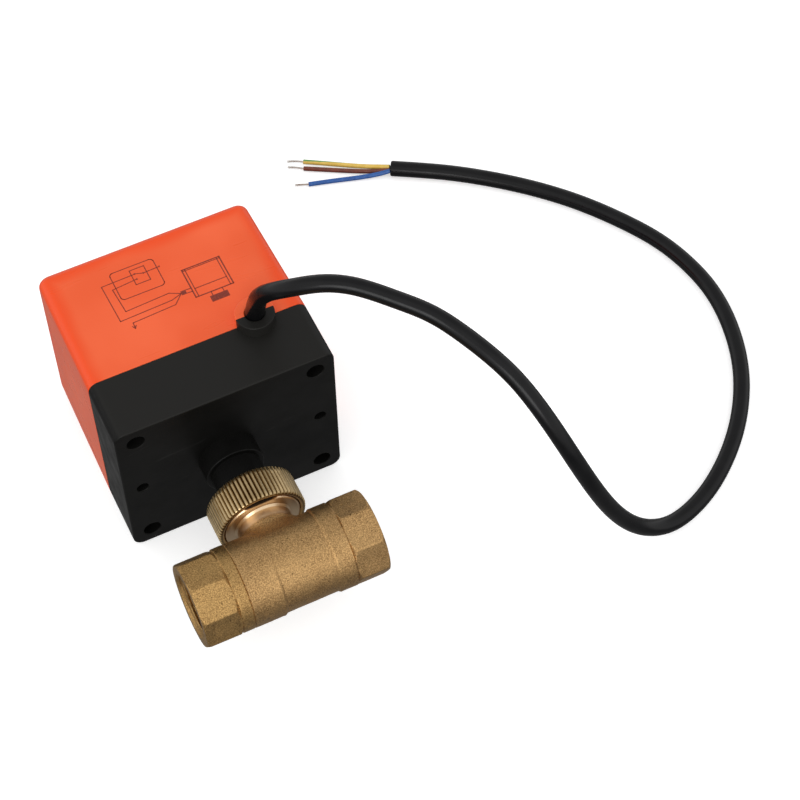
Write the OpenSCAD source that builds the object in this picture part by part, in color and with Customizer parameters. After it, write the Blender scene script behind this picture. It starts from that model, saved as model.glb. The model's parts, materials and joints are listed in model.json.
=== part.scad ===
// Motorised two-way zone valve: a threaded brass ball valve carrying a box-shaped geared actuator.
// The part lies on its back face with the label face up: +X runs along the pipe, +Y from the valve
// towards the actuator's cover, and Z = 0 is the surface that it rests on. Sizes are in millimetres.

/* [Actuator housing] */
// Length of the housing along the pipe
box_w = 75; // [74:0.5:78]
// Depth of the housing, from its back face to its label face
box_d = 65; // [64.6:0.1:67]
// Height of the whole housing
box_h = 70.7; // [68:0.1:76]
// Height of the base shell, up to the seam with the cover
base_h = 22.2; // [22:0.1:22.6]
// Thickness of the housing walls
wall = 2.2; // [1.8:0.1:2.3]
// Thickness of the floor of the base
floor_t = 3; // [2.6:0.1:3]
// Radius of the housing's upright corners
corner_r = 3.5; // [2.5:0.5:5]
// How far each long wall of the cover leans in at the top
draft_y = 1.8; // [0.5:0.1:2]
// How far each short wall of the cover leans in at the top
draft_x = 0.7; // [0.2:0.1:1]
// Radius of the spigot under the base that the union nut turns on
spigot_r = 8.5; // [8:0.1:8.8]

/* [Valve] */
// Distance from the base's underside down to the pipe axis
pipe_drop = 46.5; // [46:0.5:50]
// Left end of the valve, measured from the housing's middle
pipe_left = -34.5; // [-38:0.5:-34]
// Right end of the valve, measured from the housing's middle
pipe_right = 28; // [28:0.5:32]
// Width across the flats of the octagonal ends
end_af = 27; // [26.5:0.1:28]
// Radius of the smooth barrel around the ball
barrel_r = 13.5; // [13.2:0.1:13.8]
// Radius of the raised round sections of the body
section_r = 14; // [13.9:0.1:14.2]
// Radius of the threaded pipe sockets, at the thread roots
port_r = 10.48; // [10.48:0.01:10.5]
// Length of the thread in each socket
port_len = 12.5; // [11:0.5:12.5]
// Radius of the waterway
water_r = 6.2; // [5:0.1:6.4]
// Radius of the ball
ball_r = 9.8; // [9.6:0.1:9.9]
// Radius of the stem
stem_r = 3.4; // [3:0.1:3.4]

/* [Union nut] */
// Outer radius of the union nut over its knurl
nut_r = 15; // [14.8:0.1:15.5]
// Number of serrations on the union nut
nut_teeth = 66; // [48:2:80]

/* [Gear train] */
// Module of the last gear pair
last_module = 0.7; // [0.68:0.01:0.7]
// Module of the two earlier gear pairs
fine_module = 0.5; // [0.48:0.01:0.5]
// Teeth of the output gear
output_teeth = 48; // [46:1:48]
// Teeth of the second intermediate gear
second_teeth = 50; // [48:1:50]
// Teeth of the first intermediate gear
first_teeth = 36; // [34:1:36]
// Teeth of every pinion
pinion_teeth = 12; // [12:1:13]
// Travel of the switch plungers over the quarter turn
cam_rise = 1.2; // [0.8:0.1:1.4]

/* [Hidden] */
$fn = 64;
eps = 0.01;
running_gap = 0.05;

// Places that the parts share, in the upright frame: z up the shaft, -y towards the label face.
shaft_x = -1.8;
end_r = end_af / 2 / cos(22.5);
front_y = (pipe_drop + end_r - box_h) / 2;
neck_top = -21.2;
collar_low = -29;
collar_r = 12.9;
collar_flat = 11.5;
spigot_len = -neck_top;
shoulder_r = 10;
shoulder_len = 7;
ring_top = -19.2;
ring_low = -20.3;
nut_low = -28.8;
nut_top = -17.7;
nut_bore_r = collar_r + 0.1;
sleeve_r = 5;
sleeve_low = -19.7;
cap_seam = -18.2;
barrel_left = -7.9;
barrel_right = 11.2;
octagon_left = 16.8;
relief_r = 9.2;
relief_len = 3;
cap_thread_r = 11.2;
cap_thread_end = -12.5;
seat_far = 10.4;
seat_near = 5.2;
seat_r = 10.5;
cavity_r = 10.6;
washer_top = -34.2;
washer_t = 0.65;
flange_r = 5.1;
oring_z = [-31.5, -28];
neck_recess_r = 8.5;
neck_recess = 4;
waist_r = 9.2;

// Fastenings of the housing.
corner_x = 30.7;
corner_y = 26;
pillar_r = 4.1;
mid_x = 31.2;
mid_pillar_r = 3.4;
head_r = 3;
head_recess = 6;
plate_z = 21;
plate_t = 1.4;
plate_top = plate_z + plate_t;

// Gland in a round boss on the label face, which the seam splits in half.
gland_x = 20.1;
gland_z = base_h;
boss_r = 6.5;
boss_h = 4.3;
boss_lip = 1.2;
mouth_r = 3.35;
gland_neck_r = 4.4;
gland_flange_r = 6.4;
gland_flange_t = 1.6;
gland_sleeve_r = 3.3;
gland_sleeve_h = 4;
sheath_r = 2.85;
wire_r = 0.85;
tip_r = 0.3;

// Gear positions: each distance is the sum of the pair's pitch radii.
pitch_output = last_module * output_teeth / 2;
pitch_last_pinion = last_module * pinion_teeth / 2;
pitch_second = fine_module * second_teeth / 2;
pitch_first = fine_module * first_teeth / 2;
pitch_fine_pinion = fine_module * pinion_teeth / 2;
second_dir = 130;
first_dir = 15;
rotor_dir = -75;
second_at = [shaft_x, 0] + (pitch_output + pitch_last_pinion) * [cos(second_dir), sin(second_dir)];
first_at = second_at + (pitch_second + pitch_fine_pinion) * [cos(first_dir), sin(first_dir)];
rotor_at = first_at + (pitch_first + pitch_fine_pinion) * [cos(rotor_dir), sin(rotor_dir)];

// Gear layers.
output_gear_z = 10.4;
output_gear_t = 4;
second_gear_z = 15.2;
second_gear_t = 2;
first_gear_z = 18;
first_gear_t = 1.6;
hub_z = floor_t + 0.3;
hub_r = 2.2;
pin_r = 1;
shaft_r = 3;
shaft_top = plate_top - 0.1;

// Motor.
motor_r = 20.5;
motor_h = 21;
motor_plate_t = 1.2;
motor_low = plate_top + motor_plate_t;
motor_top = motor_low + motor_h;
can_t = 0.8;
magnet_r = 7.5;
ear_x = 23.5;
ear_dir = 15;

// Limit switches, each beside the cam with its plunger in line with the shaft.
switch_w = 12.8;
switch_d = 6.5;
switch_h = 5.8;
switch_face = 10.6;
switch_z = floor_t + 0.2;
switch_off = 2.4;
switch_hole = 5;
cam_z = 4.4;
cam_t = 4.2;
cam_low_r = 8;
nose_r = 1.2;
nose_gap = 0.05;
plunger_tail = 3.4;

// Circuit board.
board_w = 50;
board_d = 38;
board_z = 48.5;
board_t = 1.6;
post_at = [[-21, -14], [21, -16], [-22, 15]];

// Route of the lead, from the top of its boss to the end of its sheath, in the part's own frame.
// The two stretches are the free arch and the bend that lies on the surface.
lead_arch = [
    [20.1, 17.4, 69.3], [20.5, 16.5, 74], [20.5, 14.5, 79], [20, 11.5, 85], [22, 7.5, 91.5],
    [27, 2, 97], [35.5, -2.5, 100.5], [44.5, -8, 100.5], [54.5, -16, 96.5], [63, -22.5, 93],
    [69, -31, 89.5], [74.5, -40.5, 86], [79, -49, 81.5], [82.5, -57, 75], [86, -64, 66.5],
    [90.5, -70, 54], [96.5, -74, 38], [103.5, -76, 22.5]
];
lead_rest = [
    [112.5, -77.5, 10], [124, -78, 4], [137, -73.5, 3], [146.5, -68, 2.9], [155.5, -61, 2.9],
    [164, -52.5, 2.9], [171.5, -42.5, 2.9], [177.5, -31.5, 2.9], [181.5, -20, 2.9], [184, -8, 2.9],
    [184.5, 4, 2.9], [182.5, 16, 2.9], [179, 27.5, 2.9], [173, 39, 2.9], [161.5, 56.5, 2.9],
    [146.5, 72.5, 2.9], [129.5, 86.5, 2.9], [118, 94, 2.9], [106.5, 100.8, 2.9]
];
lead_route = concat(lead_arch, lead_rest);
earth_route = [
    [106.5, 101.6, 2.9], [103, 104.4, 1.8], [97, 108.4, 0.9], [88, 114.2, 0.9], [79.6, 119.4, 0.9]
];
live_route = [
    [106.2, 100.9, 2.4], [102.5, 102.7, 1.3], [96, 106.2, 0.9], [87, 111.4, 0.9], [78.4, 116.4, 0.9]
];
neutral_route = [
    [105.9, 99.9, 2.9], [102, 101, 1.8], [95, 103.4, 0.9], [86, 106.3, 0.9], [77, 108.8, 0.9]
];
earth_tip = [[79.6, 119.4, 0.9], [77, 121.2, 0.8], [74.4, 122.3, 0.6]];
live_tip = [[78.4, 116.4, 0.9], [76, 118.3, 0.8], [73.5, 119.8, 0.6]];
neutral_tip = [[77, 108.8, 0.9], [74.6, 109.9, 0.8], [72.4, 110.9, 0.6]];
// Route of the lead inside the housing, in the upright frame.
inner_route = [
    [20.1, -36.8, 22.2], [20.1, -30, 22.2], [20.3, -27.8, 22.9], [20.8, -26, 26.5], [21.5, -25.5, 32],
    [21.5, -24.5, 40], [21.5, -24, 48], [21.5, -22.5, 53], [21.5, -19, 55.5]
];

// Places children, modelled upright with the shaft along z, on their back with the label face up.
module lay() {
    translate([0, front_y, box_d / 2]) rotate([-90, 0, 0]) children();
}

// Puts children on the pipe axis with their own z along the pipe, starting at x.
module along_pipe(x) {
    translate([x, 0, -pipe_drop]) rotate([0, 90, 0]) children();
}

// Repeats children at the four corner pillars.
module at_corners() {
    for (sx = [-1, 1], sy = [-1, 1]) translate([sx * corner_x, sy * corner_y, 0]) children();
}

// Repeats children at the two pillars in the middle of the short sides.
module at_middles() {
    for (sx = [-1, 1]) translate([sx * mid_x, 0, 0]) children();
}

module rounded_rect(w, d, r) {
    square([w - 2 * r, d], center = true);
    square([w, d - 2 * r], center = true);
    for (sx = [-1, 1], sy = [-1, 1]) translate([sx * (w / 2 - r), sy * (d / 2 - r)]) circle(r);
}

module ring(inner, outer, h) {
    difference() {
        cylinder(r = outer, h = h);
        translate([0, 0, -1]) cylinder(r = inner, h = h + 2);
    }
}

module torus(ring_r, wire) {
    rotate_extrude() translate([ring_r, 0]) circle(wire, $fn = 24);
}

// Involute tooth outline: angle by which the flank has turned at radius r, from base radius rb.
function involute(r, rb) = let (a = acos(min(1, rb / r))) tan(a) * 180 / PI - a;

// One tooth, root to root, about the angle mid.
function tooth(m, n, mid) =
    let (
        pitch = m * n / 2,
        base = pitch * cos(25),
        tip = pitch + 0.8 * m,
        root = pitch - 1.05 * m,
        half = 90 / n - 0.06 / pitch * 180 / PI + involute(pitch, base),
        low = max(base, root + 0.01),
        radii = [for (i = [0:4]) low + (tip - low) * i / 4]
    )
    concat(
        [root * [cos(mid - half), sin(mid - half)]],
        [for (r = radii) r * [cos(mid - half + involute(r, base)), sin(mid - half + involute(r, base))]],
        [for (i = [4:-1:0]) let (r = radii[i], a = mid + half - involute(r, base)) r * [cos(a), sin(a)]],
        [root * [cos(mid + half), sin(mid + half)]]
    );

module gear(m, n, turn, h, bore) {
    difference() {
        linear_extrude(h) polygon([for (i = [0:n - 1]) each tooth(m, n, turn + i * 360 / n)]);
        translate([0, 0, -1]) cylinder(r = bore, h = h + 2);
    }
}

// Turn of a gear of nb teeth that meshes with one of na teeth turned by ta, which lies towards dir.
function mesh_turn(dir, na, ta, nb) = dir + 180 - 360 / nb * (0.5 - (dir - ta) * na / 360);

output_turn = 0;
second_turn = mesh_turn(second_dir, output_teeth, output_turn, pinion_teeth);
first_turn = mesh_turn(first_dir, second_teeth, second_turn, pinion_teeth);
rotor_turn = mesh_turn(rotor_dir, first_teeth, first_turn, pinion_teeth);

// Sweep of a round tube along a list of points, with unturning rings.
function unit(v) = v / norm(v);
function tangent(p, i) = unit(p[min(i + 1, len(p) - 1)] - p[max(i - 1, 0)]);
function across(v, t) = unit(v - (v * t) * t);
function sides(p) = [
    for (i = 0, s = across([0.3, 0.5, 0.8], tangent(p, 0)); i < len(p);
        i = i + 1, s = i < len(p) ? across(s, tangent(p, i)) : s) s
];

module tube(p, r, n = 8) {
    side = sides(p);
    points = [
        for (i = [0:len(p) - 1], k = [0:n - 1])
            let (t = tangent(p, i), a = 360 * k / n)
            p[i] + r * (cos(a) * side[i] + sin(a) * cross(t, side[i]))
    ];
    last = (len(p) - 1) * n;
    faces = concat(
        [[for (k = [0:n - 1]) k]],
        [[for (k = [n - 1:-1:0]) last + k]],
        [for (i = [0:len(p) - 2], k = [0:n - 1])
            let (a = i * n + k, b = i * n + (k + 1) % n) each [[a, a + n, b + n], [a, b + n, b]]]
    );
    polyhedron(points, faces);
}

// ---- Housing ----

// Puts children in the seam where the gland sits, with their own z out of the label face.
module at_gland(depth) {
    translate([gland_x, -depth, gland_z]) rotate([90, 0, 0]) children();
}

module actuator_base() lay() color([0.11, 0.11, 0.11]) difference() {
    union() {
        difference() {
            linear_extrude(base_h) rounded_rect(box_w, box_d, corner_r);
            translate([0, 0, floor_t])
                linear_extrude(base_h) rounded_rect(box_w - 2 * wall, box_d - 2 * wall, corner_r - 1);
        }
        at_corners() cylinder(r = pillar_r, h = base_h);
        at_middles() cylinder(r = mid_pillar_r, h = plate_z);
        translate([shaft_x, 0, -shoulder_len]) cylinder(r = shoulder_r, h = shoulder_len + floor_t);
        translate([shaft_x, 0, -spigot_len]) cylinder(r = spigot_r, h = spigot_len);
        half_boss(0);
    }
    translate([shaft_x, 0, -spigot_len - 1]) cylinder(r = sleeve_r + 0.06, h = spigot_len + 0.4);
    translate([shaft_x, 0, -2]) cylinder(r = shaft_r + running_gap, h = 10);
    translate([shaft_x, 0, ring_low]) ring(spigot_r - 0.9, spigot_r + 5, ring_top - ring_low);
    at_corners() {
        translate([0, 0, -1]) cylinder(r = head_r, h = head_recess + 1);
        cylinder(r = 1.5, h = base_h + 1);
    }
    at_middles() {
        translate([0, 0, -1]) cylinder(r = 2, h = head_recess + 1);
        cylinder(r = 1.25, h = base_h);
    }
    translate([second_at.x, second_at.y, 1.5]) cylinder(r = pin_r, h = 4);
    translate([first_at.x, first_at.y, 1.5]) cylinder(r = pin_r, h = 4);
    gland_hole();
}

// One half of the lead's boss, from height low up to the next seam.
module half_boss(low) {
    intersection() {
        at_gland(box_d / 2 - wall / 2) cylinder(r = boss_r, h = wall / 2 + boss_h);
        translate([gland_x - 10, -box_d / 2 - 10, low]) cube([20, 12, base_h]);
    }
}

// The gland's hole, narrower at the lip that the lead comes out of.
module gland_hole() {
    at_gland(box_d / 2 - wall - 2) {
        cylinder(r = gland_neck_r, h = wall + 2 + boss_h - boss_lip);
        cylinder(r = mouth_r, h = wall + boss_h + 3);
    }
}

module cover() lay() color([0.98, 0.36, 0.16]) difference() {
    union() {
        difference() {
            translate([0, 0, base_h]) cover_shell(box_w, box_d, box_h - base_h, corner_r);
            translate([0, 0, base_h - eps])
                cover_shell(box_w - 2 * wall, box_d - 2 * wall, box_h - base_h - wall, corner_r - 1);
        }
        intersection() {
            at_corners() translate([0, 0, base_h]) cylinder(r = pillar_r, h = 18);
            translate([0, 0, base_h]) cover_shell(box_w - 1, box_d - 1, box_h - base_h, corner_r);
        }
        half_boss(base_h);
    }
    at_corners() cylinder(r = 1.5, h = base_h + 14);
    gland_hole();
    cover_gasket_groove();
}

// Outer or inner form of the cover, leaning in towards its top.
module cover_shell(w, d, h, r) {
    linear_extrude(h, scale = [1 - 2 * draft_x / w, 1 - 2 * draft_y / d], slices = 1)
        rounded_rect(w, d, r, $fn = 32);
}

module gasket_outline(grow) {
    rounded_rect(box_w - 2 * wall + 1.4 + grow, box_d - 2 * wall + 1.4 + grow, corner_r);
}

module cover_gasket_groove() {
    translate([0, 0, base_h - 1]) linear_extrude(2) difference() {
        gasket_outline(0);
        gasket_outline(-1.6);
    }
}

module cover_gasket() lay() color([0.2, 0.2, 0.2]) difference() {
    translate([0, 0, base_h]) linear_extrude(1) difference() {
        gasket_outline(0);
        gasket_outline(-1.6);
    }
    at_gland(box_d / 2 - wall - 3) cylinder(r = gland_neck_r + 1, h = wall + 5);
    at_corners() cylinder(r = pillar_r + 0.1, h = box_h);
}

// Pan-head screw with its head at the foot and its shank up.
module screw(head, head_h, shank, length) {
    difference() {
        cylinder(r = head, h = head_h);
        for (a = [0, 90]) rotate(a) translate([-head * 0.6, -0.35, -1]) cube([head * 1.2, 0.7, 1 + head_h / 2]);
    }
    translate([0, 0, head_h]) cylinder(r = shank, h = length);
}

module cover_screws() lay() color([0.16, 0.16, 0.17])
    at_corners() translate([0, 0, head_recess - 2]) screw(2.75, 2, 1.5, 30);

module frame_screws() lay() color([0.16, 0.16, 0.17])
    at_middles() translate([0, 0, head_recess - 1.5]) screw(1.9, 1.5, 1.25, plate_top - head_recess + 0.6);

module retaining_ring() lay() color([0.7, 0.7, 0.72]) translate([shaft_x, 0, ring_low]) difference() {
    ring(spigot_r - 0.9, collar_r - 0.3, ring_top - ring_low);
    translate([0, -1.5, -1]) cube([20, 3, 5]);
}

// ---- Lead ----

module cable_gland() lay() color([0.09, 0.09, 0.09]) at_gland(box_d / 2) difference() {
    union() {
        translate([0, 0, -wall - 2.2]) cylinder(r = gland_flange_r, h = gland_flange_t);
        translate([0, 0, -wall - 2.2]) cylinder(r = gland_neck_r, h = wall + 2.2 + boss_h - boss_lip);
        translate([0, 0, -wall])
            cylinder(r1 = gland_sleeve_r, r2 = gland_sleeve_r - 0.2, h = wall + boss_h + gland_sleeve_h);
    }
    translate([0, 0, -wall - 3]) cylinder(r = sheath_r, h = wall + 4 + boss_h + gland_sleeve_h);
}

module cable_sheath() color([0.08, 0.08, 0.08]) tube(lead_route, sheath_r, 12);
module wire_earth() color([0.55, 0.6, 0.1]) tube(earth_route, wire_r);
module wire_live() color([0.35, 0.12, 0.06]) tube(live_route, wire_r);
module wire_neutral() color([0.05, 0.2, 0.6]) tube(neutral_route, wire_r);
module tip_earth() color([0.8, 0.8, 0.8]) tube(earth_tip, tip_r);
module tip_live() color([0.8, 0.8, 0.8]) tube(live_tip, tip_r);
module tip_neutral() color([0.8, 0.8, 0.8]) tube(neutral_tip, tip_r);
module inner_lead() lay() color([0.08, 0.08, 0.08]) tube(inner_route, sheath_r - 0.15);

// ---- Valve ----

// Octagonal pipe end with turned-off corners, standing on the pipe axis.
module octagon(length, turn, chamfer_low, chamfer_high) {
    intersection() {
        rotate(turn) cylinder(r = end_r, h = length, $fn = 8);
        rotate_extrude() polygon([
            [0, 0], [end_r - chamfer_low, 0], [end_r, chamfer_low], [end_r, length - chamfer_high],
            [end_r - chamfer_high, length], [0, length]
        ]);
    }
}

module valve_body() lay() color([0.72, 0.53, 0.25]) difference() {
    union() {
        along_pipe(cap_seam) cylinder(r = section_r, h = barrel_left - cap_seam);
        along_pipe(barrel_left) cylinder(r1 = section_r, r2 = barrel_r, h = 0.8);
        along_pipe(barrel_left) cylinder(r = barrel_r, h = barrel_right - barrel_left + 1);
        along_pipe(barrel_right) cylinder(r = section_r, h = octagon_left - barrel_right + 1);
        along_pipe(octagon_left) octagon(pipe_right - octagon_left, 0, 1.4, 1);
        translate([shaft_x, 0, 0]) body_neck();
    }
    along_pipe(pipe_right - port_len) cylinder(r = port_r, h = port_len + 1);
    along_pipe(pipe_right - port_len - relief_len) cylinder(r = relief_r, h = relief_len + 1);
    along_pipe(0) cylinder(r = water_r, h = pipe_right);
    along_pipe(cap_seam - 1) cylinder(r = cavity_r, h = shaft_x + seat_far - cap_seam + 1);
    along_pipe(cap_seam - 1) cylinder(r = cap_thread_r + running_gap, h = cap_thread_end - cap_seam + 1.2);
    translate([shaft_x, 0, washer_top - 4]) cylinder(r = flange_r + 0.1, h = 4);
    translate([shaft_x, 0, washer_top - 1]) cylinder(r = stem_r + 0.1, h = 20);
    translate([shaft_x, 0, neck_top - neck_recess]) cylinder(r = neck_recess_r, h = neck_recess + 1);
}

// Neck that carries the stem: a smooth waist under a threaded collar with one flat.
module body_neck() {
    height = neck_top - collar_low;
    translate([0, 0, -pipe_drop]) cylinder(r = waist_r, h = pipe_drop + neck_top - 1);
    translate([0, 0, collar_low]) difference() {
        rotate_extrude() polygon([
            [0, 0], [collar_r - 0.5, 0], [collar_r, 0.5], [collar_r, height - 0.8],
            [collar_r - 0.8, height], [0, height]
        ]);
        translate([-10, -collar_flat - 5, -1]) cube([20, 5, height + 2]);
    }
}

module end_cap() lay() color([0.74, 0.55, 0.27]) difference() {
    union() {
        along_pipe(pipe_left) octagon(-22 - pipe_left, 12, 1, 1.4);
        along_pipe(-22.5) cylinder(r = section_r, h = cap_seam + 22.5);
        along_pipe(cap_seam - 1) cylinder(r = cap_thread_r, h = cap_thread_end - cap_seam + 1);
    }
    along_pipe(pipe_left - 1) cylinder(r = port_r, h = port_len + 1);
    along_pipe(pipe_left) cylinder(r = relief_r, h = port_len + relief_len);
    along_pipe(pipe_left) cylinder(r = water_r, h = cap_thread_end - pipe_left + 1);
}

module seat(dir) {
    translate([shaft_x, 0, -pipe_drop]) rotate([0, 90 * dir, 0]) difference() {
        translate([0, 0, seat_near]) ring(water_r + 0.8, seat_r, seat_far - seat_near);
        sphere(ball_r + 0.03);
    }
}

module seat_left() lay() color([0.93, 0.93, 0.9]) seat(-1);
module seat_right() lay() color([0.93, 0.93, 0.9]) seat(1);

module stem_washer() lay() color([0.93, 0.93, 0.9])
    translate([shaft_x, 0, washer_top - washer_t]) ring(stem_r + 0.1, flange_r, washer_t);

// The ball is drawn shut: its bore lies across the pipe and its slot along it.
module ball() lay() color([0.8, 0.8, 0.82]) translate([shaft_x, 0, -pipe_drop]) difference() {
    sphere(ball_r);
    rotate([90, 0, 0]) translate([0, 0, -20]) cylinder(r = water_r, h = 40);
    translate([-20, -2, 7]) cube([40, 4, 10]);
}

module stem() lay() color([0.78, 0.6, 0.32]) translate([shaft_x, 0, 0]) difference() {
    union() {
        translate([-4, -1.95, -pipe_drop + 7.1]) cube([8, 3.9, 4]);
        translate([0, 0, -36.4]) cylinder(r = flange_r, h = washer_top - washer_t - running_gap + 36.4);
        translate([0, 0, -36.4]) cylinder(r = stem_r, h = 36.4 + neck_top + 0.5);
        translate([-4.2, -2, neck_top + 0.1]) cube([8.4, 4, 6.9]);
    }
    for (z = oring_z) translate([0, 0, z - 0.8]) ring(stem_r - 1.2, stem_r + 2, 1.6);
}

module stem_orings() lay() color([0.1, 0.1, 0.1])
    for (z = oring_z) translate([shaft_x, 0, z]) torus(stem_r - 0.55, 0.6);

// Outline of the knurl: a circle with one sharp groove for each serration.
module knurl_outline() {
    polygon([
        for (i = [0:nut_teeth - 1], k = [0:2])
            let (a = 360 / nut_teeth * (i + [0, 0.45, 0.72][k]), r = nut_r - [0, 0, 0.5][k])
            r * [cos(a), sin(a)]
    ]);
}

module union_nut() lay() color([0.76, 0.58, 0.3]) translate([shaft_x, 0, 0]) difference() {
    intersection() {
        translate([0, 0, nut_low]) linear_extrude(nut_top - nut_low) knurl_outline();
        translate([0, 0, nut_low]) rotate_extrude() polygon([
            [0, 0], [nut_r - 0.8, 0], [nut_r, 0.8], [nut_r, nut_top - nut_low - 0.6],
            [nut_r - 0.6, nut_top - nut_low], [0, nut_top - nut_low]
        ]);
    }
    translate([0, 0, nut_low - 1]) cylinder(r = nut_bore_r, h = ring_top - nut_low + 1.1);
    translate([0, 0, nut_low - 1]) cylinder(r = spigot_r + 0.3, h = 20);
    translate([0, 0, nut_low - eps]) cylinder(r1 = nut_bore_r + 0.6, r2 = nut_bore_r, h = 0.6);
}

// ---- Drive ----

module output_shaft() lay() color([0.75, 0.75, 0.77]) translate([shaft_x, 0, 0]) difference() {
    union() {
        translate([0, 0, sleeve_low]) cylinder(r = sleeve_r, h = -sleeve_low - 0.8);
        translate([0, 0, -1]) cylinder(r = shaft_r, h = shaft_top + 1);
    }
    translate([-10, -2.05, sleeve_low - 1]) cube([20, 4.1, 8]);
}

module output_gear() lay() color([0.92, 0.9, 0.85]) translate([shaft_x, 0, output_gear_z])
    gear(last_module, output_teeth, output_turn, output_gear_t, shaft_r);

// Cam radius at an angle: it falls over the first quarter and rises over the third.
function cam_r(a) = cam_low_r + cam_rise * (a < 90 ? 1 - a / 90 : a < 180 ? 0 : a < 270 ? (a - 180) / 90 : 1);

module switch_cam() lay() color([0.95, 0.95, 0.92]) translate([shaft_x, 0, cam_z]) difference() {
    union() {
        linear_extrude(cam_t) polygon([for (a = [0:5:355]) cam_r(a) * [cos(a), sin(a)]]);
        cylinder(r = 5, h = output_gear_z - cam_z);
    }
    translate([0, 0, -1]) cylinder(r = shaft_r, h = 20);
}

module shaft_clip() lay() color([0.5, 0.5, 0.52])
    translate([shaft_x, 0, output_gear_z + output_gear_t]) ring(shaft_r, 4.8, 0.6);

module shaft_bush() lay() color([0.72, 0.5, 0.25])
    translate([shaft_x, 0, plate_z - 0.8]) ring(shaft_r + running_gap, 4.6, plate_t + 0.8);

module second_gear() lay() color([0.9, 0.88, 0.8]) translate([second_at.x, second_at.y, 0]) difference() {
    union() {
        translate([0, 0, hub_z]) cylinder(r = hub_r, h = plate_z - 0.3 - hub_z);
        translate([0, 0, output_gear_z - 0.2])
            gear(last_module, pinion_teeth, second_turn, second_gear_z - output_gear_z + 0.2, pin_r);
        translate([0, 0, second_gear_z]) gear(fine_module, second_teeth, second_turn, second_gear_t, pin_r);
    }
    cylinder(r = pin_r + running_gap, h = 40);
}

module first_gear() lay() color([0.55, 0.6, 0.62]) translate([first_at.x, first_at.y, 0]) difference() {
    union() {
        translate([0, 0, hub_z]) cylinder(r = hub_r, h = plate_z - 0.3 - hub_z);
        translate([0, 0, second_gear_z - 0.3])
            gear(fine_module, pinion_teeth, first_turn, first_gear_z - second_gear_z + 0.3, pin_r);
        translate([0, 0, first_gear_z]) gear(fine_module, first_teeth, first_turn, first_gear_t, pin_r);
    }
    cylinder(r = pin_r + running_gap, h = 40);
}

module gear_pins() lay() color([0.7, 0.7, 0.72])
    for (at = [second_at, first_at]) translate([at.x, at.y, 1.5]) cylinder(r = pin_r, h = plate_top - 1.5);

module gear_plate() lay() color([0.66, 0.67, 0.68]) translate([0, 0, plate_z]) difference() {
    linear_extrude(plate_t) difference() {
        union() {
            square([54, 58], center = true);
            square([69, 16], center = true);
        }
        translate([gland_x, -31]) circle(8);
        at_corners() circle(pillar_r + 0.2);
    }
    for (at = [second_at, first_at]) translate([at.x, at.y, -1]) cylinder(r = pin_r, h = 4);
    translate([rotor_at.x, rotor_at.y, -1]) cylinder(r = 2, h = 4);
    translate([shaft_x, 0, -1]) cylinder(r = 4.6, h = 4);
    translate([0, 0, -1]) at_middles() cylinder(r = 1.25, h = 4);
    translate([0, 0, -1]) at_ears() cylinder(r = 1.25, h = 4);
    for (p = post_at) translate([p.x, p.y, -1]) cylinder(r = 1.5, h = 4);
}

// ---- Motor ----

// Repeats children at the motor's two fixing ears.
module at_ears() {
    translate([rotor_at.x, rotor_at.y, 0])
        for (s = [-1, 1]) rotate(ear_dir) translate([s * ear_x, 0, 0]) children();
}

module at_rotor(z) {
    translate([rotor_at.x, rotor_at.y, z]) children();
}

module motor_rotor() lay() color([0.25, 0.24, 0.24]) at_rotor(0) {
    translate([0, 0, 17]) cylinder(r = pin_r, h = motor_top - 0.2 - 17);
    translate([0, 0, 17.9]) gear(fine_module, pinion_teeth, rotor_turn, 2.6, 0.5);
    translate([0, 0, motor_low + 2.4]) cylinder(r = magnet_r, h = 14);
}

module motor_front_plate() lay() color([0.7, 0.71, 0.72]) difference() {
    union() {
        at_rotor(plate_top) cylinder(r = motor_r, h = motor_plate_t);
        translate([0, 0, plate_top]) at_ears() cylinder(r = 3.6, h = motor_plate_t);
        at_rotor(plate_top) rotate(ear_dir) translate([-ear_x, -3.6, 0]) cube([2 * ear_x, 7.2, motor_plate_t]);
    }
    at_rotor(0) cylinder(r = pin_r + running_gap, h = 60);
    at_ears() cylinder(r = 1.25, h = 60);
}

module motor_can() lay() color([0.74, 0.75, 0.77]) at_rotor(motor_low) difference() {
    union() {
        cylinder(r = motor_r, h = motor_h);
        translate([0, 0, motor_h]) cylinder(r = 3.4, h = 1.2);
    }
    translate([0, 0, -1]) cylinder(r = motor_r - can_t, h = motor_h - can_t + 1);
    translate([0, 0, -1]) cylinder(r = pin_r + running_gap, h = motor_h + 1.4);
}

module motor_coil() lay() color([0.65, 0.32, 0.14])
    at_rotor(motor_low + 1) ring(9.4, motor_r - can_t - 0.1, 18);
module motor_poles() lay() color([0.6, 0.61, 0.63]) at_rotor(motor_low) ring(magnet_r + 0.4, 9.3, 19.8);

module motor_screws() lay() color([0.75, 0.75, 0.77])
    translate([0, 0, motor_low + 1.6]) at_ears() mirror([0, 0, 1])
        screw(2.2, 1.6, 1.25, motor_plate_t + plate_t);

// ---- Limit switches ----

// A switch body in front of which its plunger moves along y.
module switch_case() difference() {
    translate([-switch_w / 2 + switch_off, 0, 0]) cube([switch_w, switch_d, switch_h]);
    translate([-1.35, -1, 1.6]) cube([2.7, 6, 3.2]);
    for (s = [-1, 1]) translate([s * switch_hole + switch_off, 4.2, -1]) cylinder(r = 0.95, h = 10);
}

// Plunger with its nose towards the shaft; press is how far the cam has pushed it back.
module plunger(press) {
    nose = cam_low_r + nose_gap + nose_r + press;
    translate([shaft_x, nose, switch_z + 1.8]) {
        cylinder(r = nose_r, h = 2.8);
        translate([-nose_r, 0, 0]) cube([2 * nose_r, plunger_tail, 2.8]);
    }
}

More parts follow.
